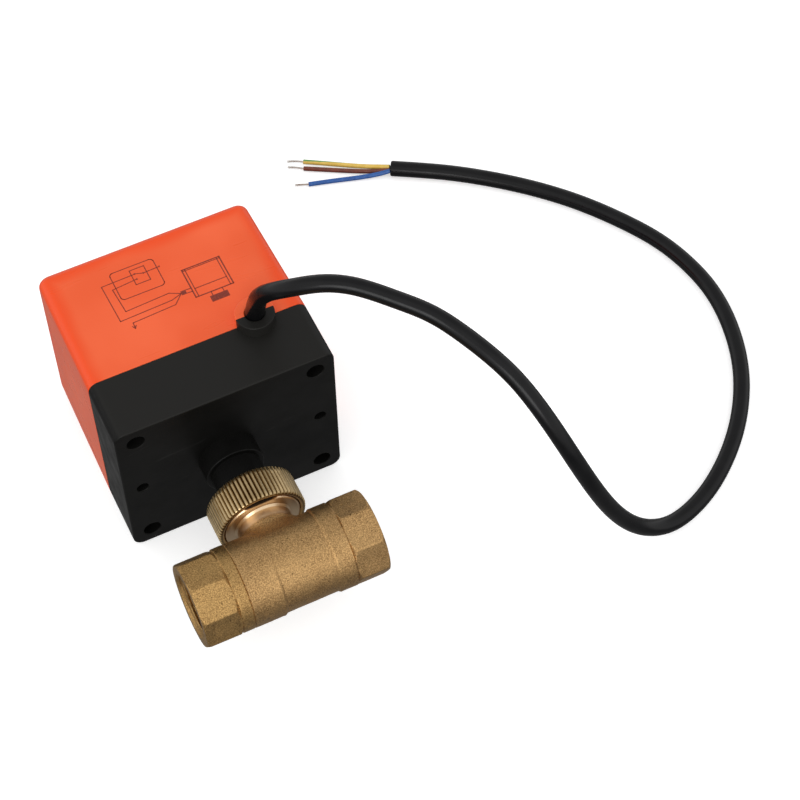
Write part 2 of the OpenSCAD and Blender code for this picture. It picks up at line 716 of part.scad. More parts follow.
module closed_switch() lay() color([0.13, 0.13, 0.14])
    mirror([0, 1, 0]) translate([shaft_x, switch_face, switch_z]) switch_case();
module open_switch() lay() color([0.13, 0.13, 0.14])
    translate([shaft_x, switch_face, switch_z]) switch_case();
module closed_plunger() lay() color([0.8, 0.15, 0.12]) mirror([0, 1, 0]) plunger(cam_rise);
module open_plunger() lay() color([0.8, 0.15, 0.12]) plunger(0);

module switch_screws() lay() color([0.7, 0.7, 0.72])
    for (side = [0, 1], s = [-1, 1]) mirror([0, side, 0])
        translate([shaft_x + switch_off + s * switch_hole, switch_face + 4.2, switch_z])
            cylinder(r = 0.95, h = switch_h);

// ---- Circuit board ----

module board_posts() lay() color([0.75, 0.6, 0.3])
    for (p = post_at) translate([p.x, p.y, plate_z]) {
        cylinder(r = 1.5, h = plate_t);
        translate([0, 0, plate_t]) cylinder(r = 2.5, h = board_z - plate_top, $fn = 6);
        translate([0, 0, plate_t]) cylinder(r = 1.2, h = board_z + board_t - plate_top + 1);
    }

module circuit_board() lay() color([0.1, 0.4, 0.2]) difference() {
    translate([-board_w / 2, -board_d / 2, board_z]) cube([board_w, board_d, board_t]);
    for (p = post_at) translate([p.x, p.y, board_z - 1]) cylinder(r = 1.2, h = 5);
}

module terminal_block() lay() color([0.1, 0.42, 0.2]) translate([-2, -18, board_z + board_t]) difference() {
    cube([20, 8, 10]);
    for (i = [0:2]) translate([2.9 + i * 5.1, 4, 3]) cube([4, 6, 4]);
    for (i = [0:2]) translate([4.9 + i * 5.1, 3, 5]) cylinder(r = 1.6, h = 8);
}

module run_capacitor() lay() color([0.75, 0.2, 0.15])
    translate([-16, 0, board_z + board_t]) linear_extrude(12) rounded_rect(8, 17, 1.5);

actuator_base();
cover();
cover_gasket();
cover_screws();
frame_screws();
retaining_ring();
cable_gland();
cable_sheath();
wire_earth();
wire_live();
wire_neutral();
tip_earth();
tip_live();
tip_neutral();
inner_lead();
valve_body();
end_cap();
seat_left();
seat_right();
stem_washer();
ball();
stem();
stem_orings();
union_nut();
output_shaft();
output_gear();
switch_cam();
shaft_clip();
shaft_bush();
second_gear();
first_gear();
gear_pins();
gear_plate();
motor_rotor();
motor_front_plate();
motor_can();
motor_coil();
motor_poles();
motor_screws();
closed_switch();
open_switch();
closed_plunger();
open_plunger();
switch_screws();
board_posts();
circuit_board();
terminal_block();
run_capacitor();
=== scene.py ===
"""Looks of a motorised zone valve: a brass ball valve under a box-shaped geared actuator with a short lead.

Sizes are millimetres in the upright frame of the actuator, with z up the shaft from the valve to the cover
and -y towards the label face, unless a name ends in _M. LAY lays that frame on its back in metres, as the
CAD has it.
"""
import json
import math

import bmesh
import bpy
from mathutils import Matrix, Vector, noise


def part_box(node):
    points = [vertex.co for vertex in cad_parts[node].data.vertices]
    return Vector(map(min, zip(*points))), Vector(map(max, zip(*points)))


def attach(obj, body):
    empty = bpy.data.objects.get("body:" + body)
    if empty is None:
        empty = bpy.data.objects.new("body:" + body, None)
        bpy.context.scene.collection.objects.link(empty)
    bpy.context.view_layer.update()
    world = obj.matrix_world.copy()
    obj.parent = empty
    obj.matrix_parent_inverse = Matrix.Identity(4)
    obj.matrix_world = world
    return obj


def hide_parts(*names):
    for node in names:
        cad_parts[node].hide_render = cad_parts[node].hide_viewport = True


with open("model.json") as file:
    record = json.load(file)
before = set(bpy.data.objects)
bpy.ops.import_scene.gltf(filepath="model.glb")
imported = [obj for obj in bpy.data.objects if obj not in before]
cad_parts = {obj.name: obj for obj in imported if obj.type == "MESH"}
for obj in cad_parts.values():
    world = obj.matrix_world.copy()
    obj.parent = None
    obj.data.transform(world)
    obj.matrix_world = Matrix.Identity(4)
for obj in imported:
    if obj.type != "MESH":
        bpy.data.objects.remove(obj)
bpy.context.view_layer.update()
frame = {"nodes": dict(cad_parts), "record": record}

scene = bpy.context.scene

# ---- Places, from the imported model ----

MM = 0.001
base_low, base_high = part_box("actuator_base")
cover_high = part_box("cover")[1]
shaft_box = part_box("output_shaft")
ball_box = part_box("ball")
gasket_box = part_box("cover_gasket")

BASE_H = 22.2
FRONT_Y_M = base_high.y - BASE_H * MM
HALF_DEPTH_M = (gasket_box[0].z + gasket_box[1].z) / 2
BOX_W = (base_high.x - base_low.x) / MM
BOX_D = 2 * HALF_DEPTH_M / MM
BOX_H = (cover_high.y - FRONT_Y_M) / MM
SHAFT_X = (shaft_box[0].x + shaft_box[1].x) / 2 / MM
PIPE_DROP = (FRONT_Y_M - (ball_box[0].y + ball_box[1].y) / 2) / MM
PIPE_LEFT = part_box("end_cap")[0].x / MM
PIPE_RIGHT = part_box("valve_body")[1].x / MM

LAY = Matrix(((MM, 0, 0, 0), (0, 0, MM, FRONT_Y_M), (0, -MM, 0, HALF_DEPTH_M), (0, 0, 0, 1)))
ON_SHAFT = LAY @ Matrix.Translation((SHAFT_X, 0, 0))
ON_PIPE = LAY @ Matrix.Translation((0, 0, -PIPE_DROP)) @ Matrix.Rotation(math.pi / 2, 4, "Y")

# ---- Sizes of the housing ----

WALL = 2.2
FLOOR_T = 3
CORNER_R = 3.5
DRAFT_X = 0.7
DRAFT_Y = 1.8
FRONT_ROUND = 0.7
SEAM_ROUND, SEAM_GAP = 0.3, 0.02
LIP_ROUND = 0.45
TOP_ROUND = 3.2
CORNER_SCREW = (30.7, 26)
MIDDLE_SCREW = 31.2
PILLAR_R = 4.1
MIDDLE_PILLAR_R = 3.4
MIDDLE_PILLAR_H = 21
PILLAR_FOOT = 1.5
COVER_PILLAR_H, COVER_HOLE_H = 18, 14
SCREW_HEAD_R, SCREW_R = 3, 1.5
FRAME_SCREW_HEAD_R, FRAME_SCREW_R = 2, 1.25
RECESS = 6
MOUTH_ROUND = 0.35
SHOULDER_R, SHOULDER_LEN = 10, 7
SPIGOT_R, SPIGOT_LEN = 8.5, 21.2
SPIGOT_ROUND = 0.4
SLEEVE_R, SLEEVE_TOP = 5.06, -0.6
SHAFT_HOLE_R = 3.05
RING_TOP, RING_LOW, RING_GROOVE = -19.2, -20.3, 0.9
GLAND_X, GLAND_Z = 20.1, BASE_H
BOSS_R, BOSS_H, BOSS_LIP = 6.5, 4.3, 1.2
MOUTH_R = 3.35
GLAND_NECK_R = 4.4
GLAND_FLANGE_R, GLAND_FLANGE_T = 6.4, 1.6
GLAND_HOLE_R = 2.7
RELIEF_LEN = 24
RELIEF_R, RELIEF_TIP_R, RELIEF_BORE_R = 3.25, 2.88, 2.86
RELIEF_TAPER = 0.33
AT_GLAND = LAY @ Matrix.Translation((GLAND_X, -BOX_D / 2, GLAND_Z)) @ Matrix.Rotation(math.pi / 2, 4, "X")

# ---- Sizes of the valve ----

END_AF = 27
END_R = END_AF / 2 / math.cos(math.radians(22.5))
END_CHAMFER = 1.0
OCTAGON_SLOPE = 1.4
ARRIS = 0.1
SECTION_R = 14
BARREL_R = 13.5
BARREL_LEFT, BARREL_RIGHT = -7.9, 11.2
CAP_SEAM, SEAM_CHAMFER = -18.2, 0.25
CAP_OCTAGON_END = -22
CAP_TURN = 12
CAP_THREAD_R, CAP_THREAD_END = 11.2, -12.5
OCTAGON_LEFT = 16.8
PORT_R, PORT_LEN, PORT_CHAMFER = 10.48, 12.5, 0.7
PORT_CREST_R = 9.4
PORT_PITCH = 1.814
UNDERCUT_R, UNDERCUT_LEN = 9.2, 3
WATER_R = 6.2
CAVITY_R, CAVITY_END = 10.6, 8.6
NECK_R = 9.2
NECK_FILLET = 2.6
NECK_TOP = -21.2
NECK_LOW_M = FRONT_Y_M - 32.4 * MM
COLLAR_LOW, COLLAR_R, COLLAR_FLAT = -29, 12.9, 11.5
NUT_R, NUT_LOW, NUT_TOP = 15, -28.8, -17.7
NUT_TEETH, NUT_GROOVE = 66, 0.7
NUT_BORE_R = 13
STEM_HOLE_R = 3.5
STEM_RECESS_R, STEM_RECESS = 8.5, 4

# ---- Lead ----

SHEATH_R_M = 0.00285
WIRE_R_M = 0.00085
STRAND_R_M = 0.00011
LEAD_STEP = 1.6
LEAD_ROUTE = [
    (20.1, 17.4, 69.3), (20.5, 16.5, 74), (20.5, 14.5, 79), (20, 11.5, 85), (22, 7.5, 91.5),
    (27, 2, 97), (35.5, -2.5, 100.5), (44.5, -8, 100.5), (54.5, -16, 96.5), (63, -22.5, 93),
    (69, -31, 89.5), (74.5, -40.5, 86), (79, -49, 81.5), (82.5, -57, 75), (86, -64, 66.5),
    (90.5, -70, 54), (96.5, -74, 38), (103.5, -76, 22.5), (112.5, -77.5, 10), (124, -78, 4),
    (137, -73.5, 3), (146.5, -68, 2.9), (155.5, -61, 2.9), (164, -52.5, 2.9), (171.5, -42.5, 2.9),
    (177.5, -31.5, 2.9), (181.5, -20, 2.9), (184, -8, 2.9), (184.5, 4, 2.9), (182.5, 16, 2.9),
    (179, 27.5, 2.9), (173, 39, 2.9), (161.5, 56.5, 2.9), (146.5, 72.5, 2.9), (129.5, 86.5, 2.9),
    (118, 94, 2.9), (106.5, 100.8, 2.9),
]
WIRE_ROUTES = {
    "earth": [(106.5, 101.6, 2.9), (103, 104.4, 1.8), (97, 108.4, 0.9), (88, 114.2, 0.9),
              (79.6, 119.4, 0.9)],
    "live": [(106.2, 100.9, 2.4), (102.5, 102.7, 1.3), (96, 106.2, 0.9), (87, 111.4, 0.9),
             (78.4, 116.4, 0.9)],
    "neutral": [(105.9, 99.9, 2.9), (102, 101, 1.8), (95, 103.4, 0.9), (86, 106.3, 0.9), (77, 108.8, 0.9)],
}
TIP_ROUTES = {
    "earth": [(79.6, 119.4, 0.9), (77, 121.2, 0.8), (74.4, 122.3, 0.6)],
    "live": [(78.4, 116.4, 0.9), (76, 118.3, 0.8), (73.5, 119.8, 0.6)],
    "neutral": [(77, 108.8, 0.9), (74.6, 109.9, 0.8), (72.4, 110.9, 0.6)],
}

# ---- Camera and light ----

# Degrees: the heading is clockwise from +y and the pitch is downwards.
CAMERA_HEADING, CAMERA_PITCH, CAMERA_ROLL = 24.523, 56.342, -1.313
CAMERA_AT_M = (-0.12045, -0.40017, 0.67555)
CAMERA_LENS = 106.126
FLOOR_M = 4.0
FLOOR_GLOW = 0.42
DOME, DOME_PANEL, DOME_BELOW = 1.20, 0.78, 0.22
PANEL_TOWARDS = (0.23, 0.50, 0.83)
SOFT_BOX = 4
SOFT_BOX_TOWARDS = (-0.50, -0.80, 0.32)


def make_camera():
    """The camera above the valve, looking down and to the right, rolled by about a degree."""
    data = bpy.data.cameras.new("camera")
    data.lens, data.sensor_width = CAMERA_LENS, 36
    data.clip_start, data.clip_end = 0.05, 20
    camera = bpy.data.objects.new("camera", data)
    scene.collection.objects.link(camera)
    place = Matrix.Translation(CAMERA_AT_M)
    for degrees, axis in ((-CAMERA_HEADING, "Z"), (90 - CAMERA_PITCH, "X"), (CAMERA_ROLL, "Z")):
        place = place @ Matrix.Rotation(math.radians(degrees), 4, axis)
    camera.matrix_world = place
    scene.camera = camera


# ---- Mesh helpers ----

def even_turns(count):
    """Angles evenly spaced round a circle."""
    return [math.tau * k / count for k in range(count)]


def ring(turns, radii, heights):
    """Points round z at the angles in turns. A list of radii or heights has one for each angle."""
    radii = radii if isinstance(radii, list) else [radii] * len(turns)
    heights = heights if isinstance(heights, list) else [heights] * len(turns)
    return [(r * math.cos(a), r * math.sin(a), z) for a, r, z in zip(turns, radii, heights)]


def ring_across(centre, axes, radius, turns):
    """Points round a centre, square to the first of three axes."""
    return [centre + radius * (math.cos(a) * axes[1] + math.sin(a) * axes[2]) for a in turns]


def arc(centre_x, centre_y, radius, start, end, steps=6):
    """Points of a circular arc, with its angles in degrees."""
    turns = [math.radians(start + (end - start) * k / steps) for k in range(steps + 1)]
    return [(centre_x + radius * math.cos(a), centre_y + radius * math.sin(a)) for a in turns]


def rounded_rect(width, depth, radius, z, steps=8):
    """A ring of points round a rectangle with round corners."""
    points = []
    for quarter in range(4):
        x = (width / 2 - radius) * (1 if quarter in (0, 3) else -1)
        y = (depth / 2 - radius) * (1 if quarter < 2 else -1)
        points += [(px, py, z) for px, py in arc(x, y, radius, 90 * quarter, 90 * quarter + 90, steps)]
    return points


def skin(rings, loop=False):
    """Vertices and faces over rings of equally many points; a ring of one point is a pole.
    A loop joins the last ring to the first, and otherwise flat faces close the two ends."""
    vertices, starts = [], []
    for points in rings:
        starts.append(len(vertices))
        vertices += [tuple(p) for p in points]
    faces = []
    pairs = list(zip(range(len(rings)), range(1, len(rings)))) + ([(len(rings) - 1, 0)] if loop else [])
    for low, high in pairs:
        a, b, n, m = starts[low], starts[high], len(rings[low]), len(rings[high])
        for k in range(max(n, m)):
            j = (k + 1) % max(n, m)
            if n == 1:
                faces.append((a, b + j, b + k))
            elif m == 1:
                faces.append((a + k, a + j, b))
            else:
                faces.append((a + k, a + j, b + j, b + k))
    if not loop:
        if len(rings[0]) > 1:
            faces.append(tuple(reversed(range(len(rings[0])))))
        if len(rings[-1]) > 1:
            faces.append(tuple(starts[-1] + k for k in range(len(rings[-1]))))
    return vertices, faces


def merge(forms):
    """One form from several, each with its vertices and faces."""
    vertices, faces = [], []
    for more, more_faces in forms:
        faces += [tuple(k + len(vertices) for k in face) for face in more_faces]
        vertices += more
    return vertices, faces


def revolve(profile, sides=96, loop=False, turns=None, shape=None):
    """A turned form round z from (radius, height) points. shape(radius, height, angle) may change radii."""
    turns = turns or even_turns(sides)
    rings = []
    for radius, height in profile:
        if radius < 1e-6:
            rings.append([(0, 0, height)])
        else:
            rings.append(ring(turns, [shape(radius, height, a) if shape else radius for a in turns], height))
    return skin(rings, loop)


def mesh_object(name, form, matrix=LAY):
    """A new object over the vertices and faces of form, moved by matrix into the CAD frame."""
    mesh = bpy.data.meshes.new(name)
    mesh.from_pydata(form[0], [], form[1])
    mesh.transform(matrix)
    obj = bpy.data.objects.new(name, mesh)
    scene.collection.objects.link(obj)
    turn_out(mesh)
    return obj


def turn_out(mesh):
    """Turns every face of a closed mesh outwards."""
    bm = bmesh.new()
    bm.from_mesh(mesh)
    bmesh.ops.recalc_face_normals(bm, faces=bm.faces)
    bm.to_mesh(mesh)
    bm.free()


def combine(obj, tools, operation):
    """Joins tools to obj, cuts them from it or keeps what they share with it, and removes them."""
    for tool in tools:
        modifier = obj.modifiers.new("combine", "BOOLEAN")
        modifier.operation, modifier.solver, modifier.object = operation, "EXACT", tool
        bpy.context.view_layer.update()
        made = bpy.data.meshes.new_from_object(obj.evaluated_get(bpy.context.evaluated_depsgraph_get()))
        obj.modifiers.clear()
        obj.data = made
        bpy.data.objects.remove(tool)
    turn_out(obj.data)
    return obj


def dress(obj, material, body="root", replaces=(), sharp=32, weighted=False):
    """Gives a piece its material, smooth shading up to an angle and its body, and hides the CAD nodes it
    stands for.
    """
    obj.data.materials.clear()
    obj.data.materials.append(material)
    obj.data.shade_smooth()
    obj.data.set_sharp_from_angle(angle=math.radians(sharp))
    if weighted:
        modifier = obj.modifiers.new("flats", "WEIGHTED_NORMAL")
        modifier.keep_sharp, modifier.weight = True, 80
    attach(obj, body)
    if replaces:
        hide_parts(*replaces)
    return obj


def spline(points, step):
    """Evenly spaced points on the uniform cubic B-spline of points in millimetres, in metres, end to end."""
    p = [Vector(q) * MM for q in points]
    p = [2 * p[0] - p[1]] + p + [2 * p[-1] - p[-2]]
    fine = []
    for i in range(len(p) - 3):
        for k in range(24):
            t = k / 24
            weights = ((1 - t) ** 3, 3 * t ** 3 - 6 * t ** 2 + 4,
                       -3 * t ** 3 + 3 * t ** 2 + 3 * t + 1, t ** 3)
            fine.append(sum((p[i + j] * w for j, w in enumerate(weights)), Vector()) / 6)
    fine.append(p[-2].copy())
    return respace(fine, step)


def respace(points, step):
    """The same line with its points evenly spaced, about step apart."""
    along = [0.0]
    for a, b in zip(points, points[1:]):
        along.append(along[-1] + (b - a).length)
    count = max(2, round(along[-1] / step))
    out, i = [], 0
    for k in range(count + 1):
        s = along[-1] * k / count
        while i < len(points) - 2 and along[i + 1] < s:
            i += 1
        share = (s - along[i]) / max(along[i + 1] - along[i], 1e-12)
        out.append(points[i].lerp(points[i + 1], min(1, share)))
    return out


def frames(path):
    """Tangent and two unturning cross directions at each point of a path."""
    last = len(path) - 1
    tangents = [(path[min(i + 1, last)] - path[max(i - 1, 0)]).normalized() for i in range(len(path))]
    side = tangents[0].orthogonal().normalized()
    found = []
    for t in tangents:
        side = (side - t * side.dot(t)).normalized()
        found.append((t, side, t.cross(side)))
    return found


def tube(name, path, radius, sides):
    """A round tube along path. Its closed ends have a small round edge, and wrap() makes its UV map."""
    edge = radius * 0.12
    last = len(path) - 1
    stops = [(0, radius - edge, 0), (0, radius, edge)] + [(i, radius, 0) for i in range(1, last)]
    stops += [(last, radius, -edge), (last, radius - edge, 0)]
    axes = frames(path)
    turns = even_turns(sides)
    rings = [ring_across(path[i] + axes[i][0] * shift, axes[i], r, turns) for i, r, shift in stops]
    obj = mesh_object(name, skin(rings), Matrix.Identity(4))
    wrap(obj.data, sides, len(rings))
    return obj


def wrap(mesh, sides, rings):
    """UV map of a tube made by skin(): u is the share of a turn and v the share of the rings."""
    layer = mesh.uv_layers.new(name="UVMap")
    for face in mesh.polygons:
        columns = [mesh.loops[i].vertex_index % sides for i in face.loop_indices]
        over = max(columns) - min(columns) > sides / 2
        for i, column in zip(face.loop_indices, columns):
            u = (column + (sides if over and column < sides / 2 else 0)) / sides
            layer.data[i].uv = (u, mesh.loops[i].vertex_index // sides / rings)


# ---- Material helpers ----

def add(tree, kind, inputs=None, **settings):
    """A new shader node. A value in inputs is a number, a colour or another node's output."""
    node = tree.nodes.new(kind)
    for key, value in settings.items():
        setattr(node, key, value)
    for key, value in (inputs or {}).items():
        if isinstance(value, bpy.types.NodeSocket):
            tree.links.new(value, node.inputs[key])
        else:
            node.inputs[key].default_value = value
    return node


def math_node(tree, operation, a, b=0.0):
    """Result of one arithmetic operation on two values."""
    return add(tree, "ShaderNodeMath", {0: a, 1: b}, operation=operation).outputs[0]


def vector_node(tree, operation, a, b=(0, 0, 0)):
    """Outputs of one operation on two vectors."""
    return add(tree, "ShaderNodeVectorMath", {0: a, 1: b}, operation=operation).outputs


def spread(tree, value, low, high, to_low=0.0, to_high=1.0, smooth=True):
    """value mapped from low..high to to_low..to_high, held at both ends."""
    kind = "SMOOTHSTEP" if smooth else "LINEAR"
    inputs = {0: value, 1: low, 2: high, 3: to_low, 4: to_high}
    return add(tree, "ShaderNodeMapRange", inputs, interpolation_type=kind).outputs[0]


def grain(tree, size_mm, detail=2.0, stretch=(1, 1, 1), distortion=0.0):
    """Noise with features of about size_mm, over the piece's own place in the CAD frame."""
    place = add(tree, "ShaderNodeTexCoord").outputs["Object"]
    place = add(tree, "ShaderNodeMapping", {"Vector": place, "Scale": stretch}).outputs[0]
    inputs = {"Vector": place, "Scale": 1000 / size_mm, "Detail": detail, "Distortion": distortion}
    return add(tree, "ShaderNodeTexNoise", inputs).outputs[0]


def blend_colours(tree, share, a, b):
    """Colour between a and b, which are colours or node outputs."""
    node = add(tree, "ShaderNodeMix", {0: share}, data_type="RGBA", blend_type="MIX")
    for socket, value in ((node.inputs[6], a), (node.inputs[7], b)):
        if isinstance(value, bpy.types.NodeSocket):
            tree.links.new(value, socket)
        else:
            socket.default_value = (*value, 1)
    return node.outputs[2]


def mottled(tree, size_mm, detail, a, b):
    """Two colours in soft patches of about size_mm."""
    return blend_colours(tree, spread(tree, grain(tree, size_mm, detail), 0.3, 0.7), a, b)


def uneven(tree, size_mm, detail, low, high):
    """Roughness that wanders between two values over about size_mm."""
    return spread(tree, grain(tree, size_mm, detail), 0.3, 0.7, low, high, smooth=False)


def bump(tree, height, depth_mm, below=None):
    """A bump of depth_mm on top of another one."""
    inputs = {"Height": height, "Distance": depth_mm * MM, "Strength": 1.0}
    if below:
        inputs["Normal"] = below
    return add(tree, "ShaderNodeBump", inputs).outputs[0]


def start_material(name, metallic=0.0, specular=0.5):
    """A new material with its node tree and shader."""
    material = bpy.data.materials.new(name)
    material.use_nodes = True
    tree = material.node_tree
    shader = tree.nodes["Principled BSDF"]
    shader.inputs["Metallic"].default_value = metallic
    shader.inputs["Specular IOR Level"].default_value = specular
    return material, tree, shader


def plug_in(tree, shader, colour, roughness, normal):
    """Joins a surface's colour, roughness and normal to its shader."""
    tree.links.new(colour, shader.inputs["Base Color"])
    tree.links.new(roughness, shader.inputs["Roughness"])
    tree.links.new(normal, shader.inputs["Normal"])


def place_of(tree):
    """x, y and z of the surface in the CAD frame, in metres."""
    place = add(tree, "ShaderNodeTexCoord").outputs["Object"]
    return add(tree, "ShaderNodeSeparateXYZ", {0: place}).outputs


# ---- Materials ----

def orange_plastic():
    """Glossy moulded orange with faint flow marks, deeper along the round edges, where the wall is thick."""
    material, tree, shader = start_material("orange_plastic", specular=0.28)
    x, y, z = place_of(tree)
    to_side = math_node(tree, "SUBTRACT", BOX_W / 2 * MM, math_node(tree, "ABSOLUTE", x))
    to_top = math_node(tree, "SUBTRACT", cover_high.y, y)
    from_middle = math_node(tree, "ABSOLUTE", math_node(tree, "SUBTRACT", z, HALF_DEPTH_M))
    to_face = math_node(tree, "SUBTRACT", HALF_DEPTH_M, from_middle)
    low = math_node(tree, "MINIMUM", to_side, to_top)
    high = math_node(tree, "MAXIMUM", to_side, to_top)
    to_edge = math_node(tree, "MAXIMUM", low, math_node(tree, "MINIMUM", high, to_face))
    wander = math_node(tree, "MULTIPLY", math_node(tree, "SUBTRACT", grain(tree, 22, 1), 0.5), 5 * MM)
    depth = math_node(tree, "ADD", to_edge, wander)
    inner = spread(tree, depth, 2.5 * MM, 7.5 * MM)
    cloud = spread(tree, grain(tree, 30, 2), 0.35, 0.7)
    middle = blend_colours(tree, cloud, (0.78, 0.100, 0.026), (0.84, 0.125, 0.040))
    colour = blend_colours(tree, inner, (0.80, 0.070, 0.010), middle)
    flow = grain(tree, 5, 3, (0.12, 1, 1), 0.6)
    roughness = spread(tree, flow, 0.2, 0.8, 0.24, 0.36, smooth=False)
    normal = bump(tree, grain(tree, 14, 1), 0.10)
    normal = bump(tree, grain(tree, 0.8, 2), 0.004, normal)
    plug_in(tree, shader, colour, roughness, normal)
    return material


def black_plastic():
    """Satin black with a fine spark-eroded grain and a few pale rub marks, and painted light on the label
    face, which is coloured lighter where it faces up.
    """
    material, tree, shader = start_material("black_plastic", specular=0.12)
    rub = spread(tree, grain(tree, 3.2, 5, (0.18, 1, 1), 1.2), 0.66, 0.78)
    colour = mottled(tree, 16, 2, (0.0030, 0.0029, 0.0026), (0.0048, 0.0046, 0.0042))
    # Painted light: the up-facing label face gets a lighter colour than the other faces.
    label = spread(tree, place_of(tree)[2], 2 * HALF_DEPTH_M - 0.8 * MM, 2 * HALF_DEPTH_M - 0.1 * MM)
    colour = blend_colours(tree, label, colour, (0.0128, 0.0123, 0.0112))
    colour = blend_colours(tree, math_node(tree, "MULTIPLY", rub, 0.5), colour, (0.028, 0.028, 0.027))
    roughness = uneven(tree, 6, 3, 0.36, 0.5)
    normal = bump(tree, grain(tree, 9, 1), 0.04)
    normal = bump(tree, grain(tree, 0.35, 3), 0.006, normal)
    plug_in(tree, shader, colour, roughness, normal)
    return material


def cast_brass(name, pale, dark):
    """Blasted brass: a fine grain with painted glints, specks of brighter colour for its sparkle, over an
    even colour with darker pits, and a polished neck.
    """
    grain_mm = 0.36
    material, tree, shader = start_material(name, metallic=1.0)
    colour = blend_colours(tree, spread(tree, grain(tree, 9, 3), 0.25, 0.75), dark, pale)
    # Painted glints: fine specks of brighter colour stand in for the sparkle of the blasted surface.
    fine = spread(tree, grain(tree, grain_mm, 2), 0.38, 0.66)
    colour = blend_colours(tree, math_node(tree, "MULTIPLY", fine, 0.7), colour, [c * 1.95 for c in pale])
    pits = spread(tree, grain(tree, grain_mm * 1.6, 3), 0.60, 0.72)
    colour = blend_colours(tree, math_node(tree, "MULTIPLY", pits, 0.8), colour, [c * 0.35 for c in dark])
    rough = uneven(tree, 2.2, 3, 0.38, 0.52)
    neck = spread(tree, place_of(tree)[1], NECK_LOW_M - 0.6 * MM, NECK_LOW_M + 0.4 * MM)
    colour = blend_colours(tree, neck, colour, (0.66, 0.49, 0.31))
    rough = spread(tree, neck, 0, 1, rough, 0.3, smooth=False)
    grained = math_node(tree, "SUBTRACT", 1.0, neck)
    normal = bump(tree, math_node(tree, "MULTIPLY", grained, grain(tree, 1.6, 3)), 0.045)
    normal = bump(tree, math_node(tree, "MULTIPLY", grained, grain(tree, grain_mm, 2)), 0.12, normal)
    plug_in(tree, shader, colour, rough, normal)
    return material


def knurled_brass():
    """Turned pale brass with tool marks round the shaft, painted shade in the knurl's grooves and a painted
    dark gap at the bore.
    """
    material, tree, shader = start_material("knurled_brass", metallic=1.0)
    x, _, z = place_of(tree)
    across = math_node(tree, "SUBTRACT", x, SHAFT_X * MM)
    up = math_node(tree, "SUBTRACT", z, HALF_DEPTH_M)
    from_shaft = add(tree, "ShaderNodeCombineXYZ", {0: across, 1: up}).outputs[0]
    radius = vector_node(tree, "LENGTH", from_shaft)["Value"]
    # Painted shade: below the crests, in the knurl's grooves, the colour turns dark.
    crest = spread(tree, radius, (NUT_R - 0.7) * MM, (NUT_R - 0.1) * MM)
    inside = spread(tree, radius, (NUT_BORE_R + 0.6) * MM, (NUT_BORE_R + 1.1) * MM)
    # Painted shade: the bore wall, in the narrow gap round the collar, is coloured almost black.
    painted_gap_shade = spread(tree, radius, (NUT_BORE_R + 0.04) * MM, (NUT_BORE_R + 0.12) * MM)
    pale = mottled(tree, 4, 3, (0.385, 0.278, 0.142), (0.485, 0.362, 0.195))
    face = mottled(tree, 2, 2, (0.44, 0.25, 0.085), (0.55, 0.34, 0.13))
    colour = blend_colours(tree, crest, (0.24, 0.155, 0.062), pale)
    colour = blend_colours(tree, inside, face, colour)
    colour = blend_colours(tree, painted_gap_shade, (0.06, 0.03, 0.012), colour)
    normal = bump(tree, grain(tree, 1.5, 2), 0.02)
    normal = bump(tree, grain(tree, 0.3, 2, (0.05, 1, 0.05)), 0.010, normal)
    plug_in(tree, shader, colour, uneven(tree, 1.2, 3, 0.24, 0.38), normal)
    return material


def sheath_rubber():
    """Satin black PVC with a slow mottle and the faint ripple of its extrusion."""
    material, tree, shader = start_material("sheath_pvc", specular=0.19)
    colour = mottled(tree, 8, 2, (0.0025, 0.0025, 0.003), (0.0045, 0.0045, 0.005))
    normal = bump(tree, grain(tree, 5, 1), 0.03)
    normal = bump(tree, grain(tree, 0.4, 2), 0.004, normal)
    plug_in(tree, shader, colour, uneven(tree, 3, 3, 0.20, 0.28), normal)
    return material


def core_pvc(name, colour_a, colour_b, stripe=None):
    """Thin glossy wire insulation. A stripe colour runs slowly round it, over a third of its turn."""
    material, tree, shader = start_material(name, specular=0.5)
    colour = mottled(tree, 2.5, 2, colour_a, colour_b)
    if stripe:
        turn = add(tree, "ShaderNodeSeparateXYZ", {0: add(tree, "ShaderNodeTexCoord").outputs["UV"]}).outputs
        wobble = math_node(tree, "MULTIPLY", math_node(tree, "SUBTRACT", grain(tree, 2, 1), 0.5), 0.06)
        twist = math_node(tree, "MULTIPLY", turn[1], 0.35)
        share = math_node(tree, "ADD", math_node(tree, "ADD", turn[0], twist), wobble)
        share = math_node(tree, "FRACT", share)
        band = math_node(tree, "MULTIPLY", spread(tree, share, 0.60, 0.64), spread(tree, share, 0.94, 0.90))
        colour = blend_colours(tree, band, colour, stripe)
    plug_in(tree, shader, colour, uneven(tree, 1.2, 2, 0.26, 0.38), bump(tree, grain(tree, 0.5, 2), 0.004))
    return material


def print_ink():
    """Dark red-brown pad print, a little worn."""
    material, tree, shader = start_material("print_ink", specular=0.3)
    worn = spread(tree, grain(tree, 0.5, 3), 0.35, 0.75)
    colour = blend_colours(tree, worn, (0.155, 0.022, 0.012), (0.28, 0.040, 0.018))
    plug_in(tree, shader, colour, uneven(tree, 1, 2, 0.4, 0.55), bump(tree, grain(tree, 0.3, 2), 0.003))
    return material


def plain_finish(name, pale, dark, metallic, rough, grain_mm, depth_mm, stretch=(1, 1, 1)):
    """A finish from two close colours, uneven gloss and a grain, which stretch draws out into tool marks."""
    material, tree, shader = start_material(name, metallic=metallic)
    colour = mottled(tree, grain_mm * 12, 3, dark, pale)
    roughness = uneven(tree, grain_mm * 5, 3, rough * 0.8, rough * 1.25)
    plug_in(tree, shader, colour, roughness, bump(tree, grain(tree, grain_mm, 3, stretch), depth_mm))
    return material


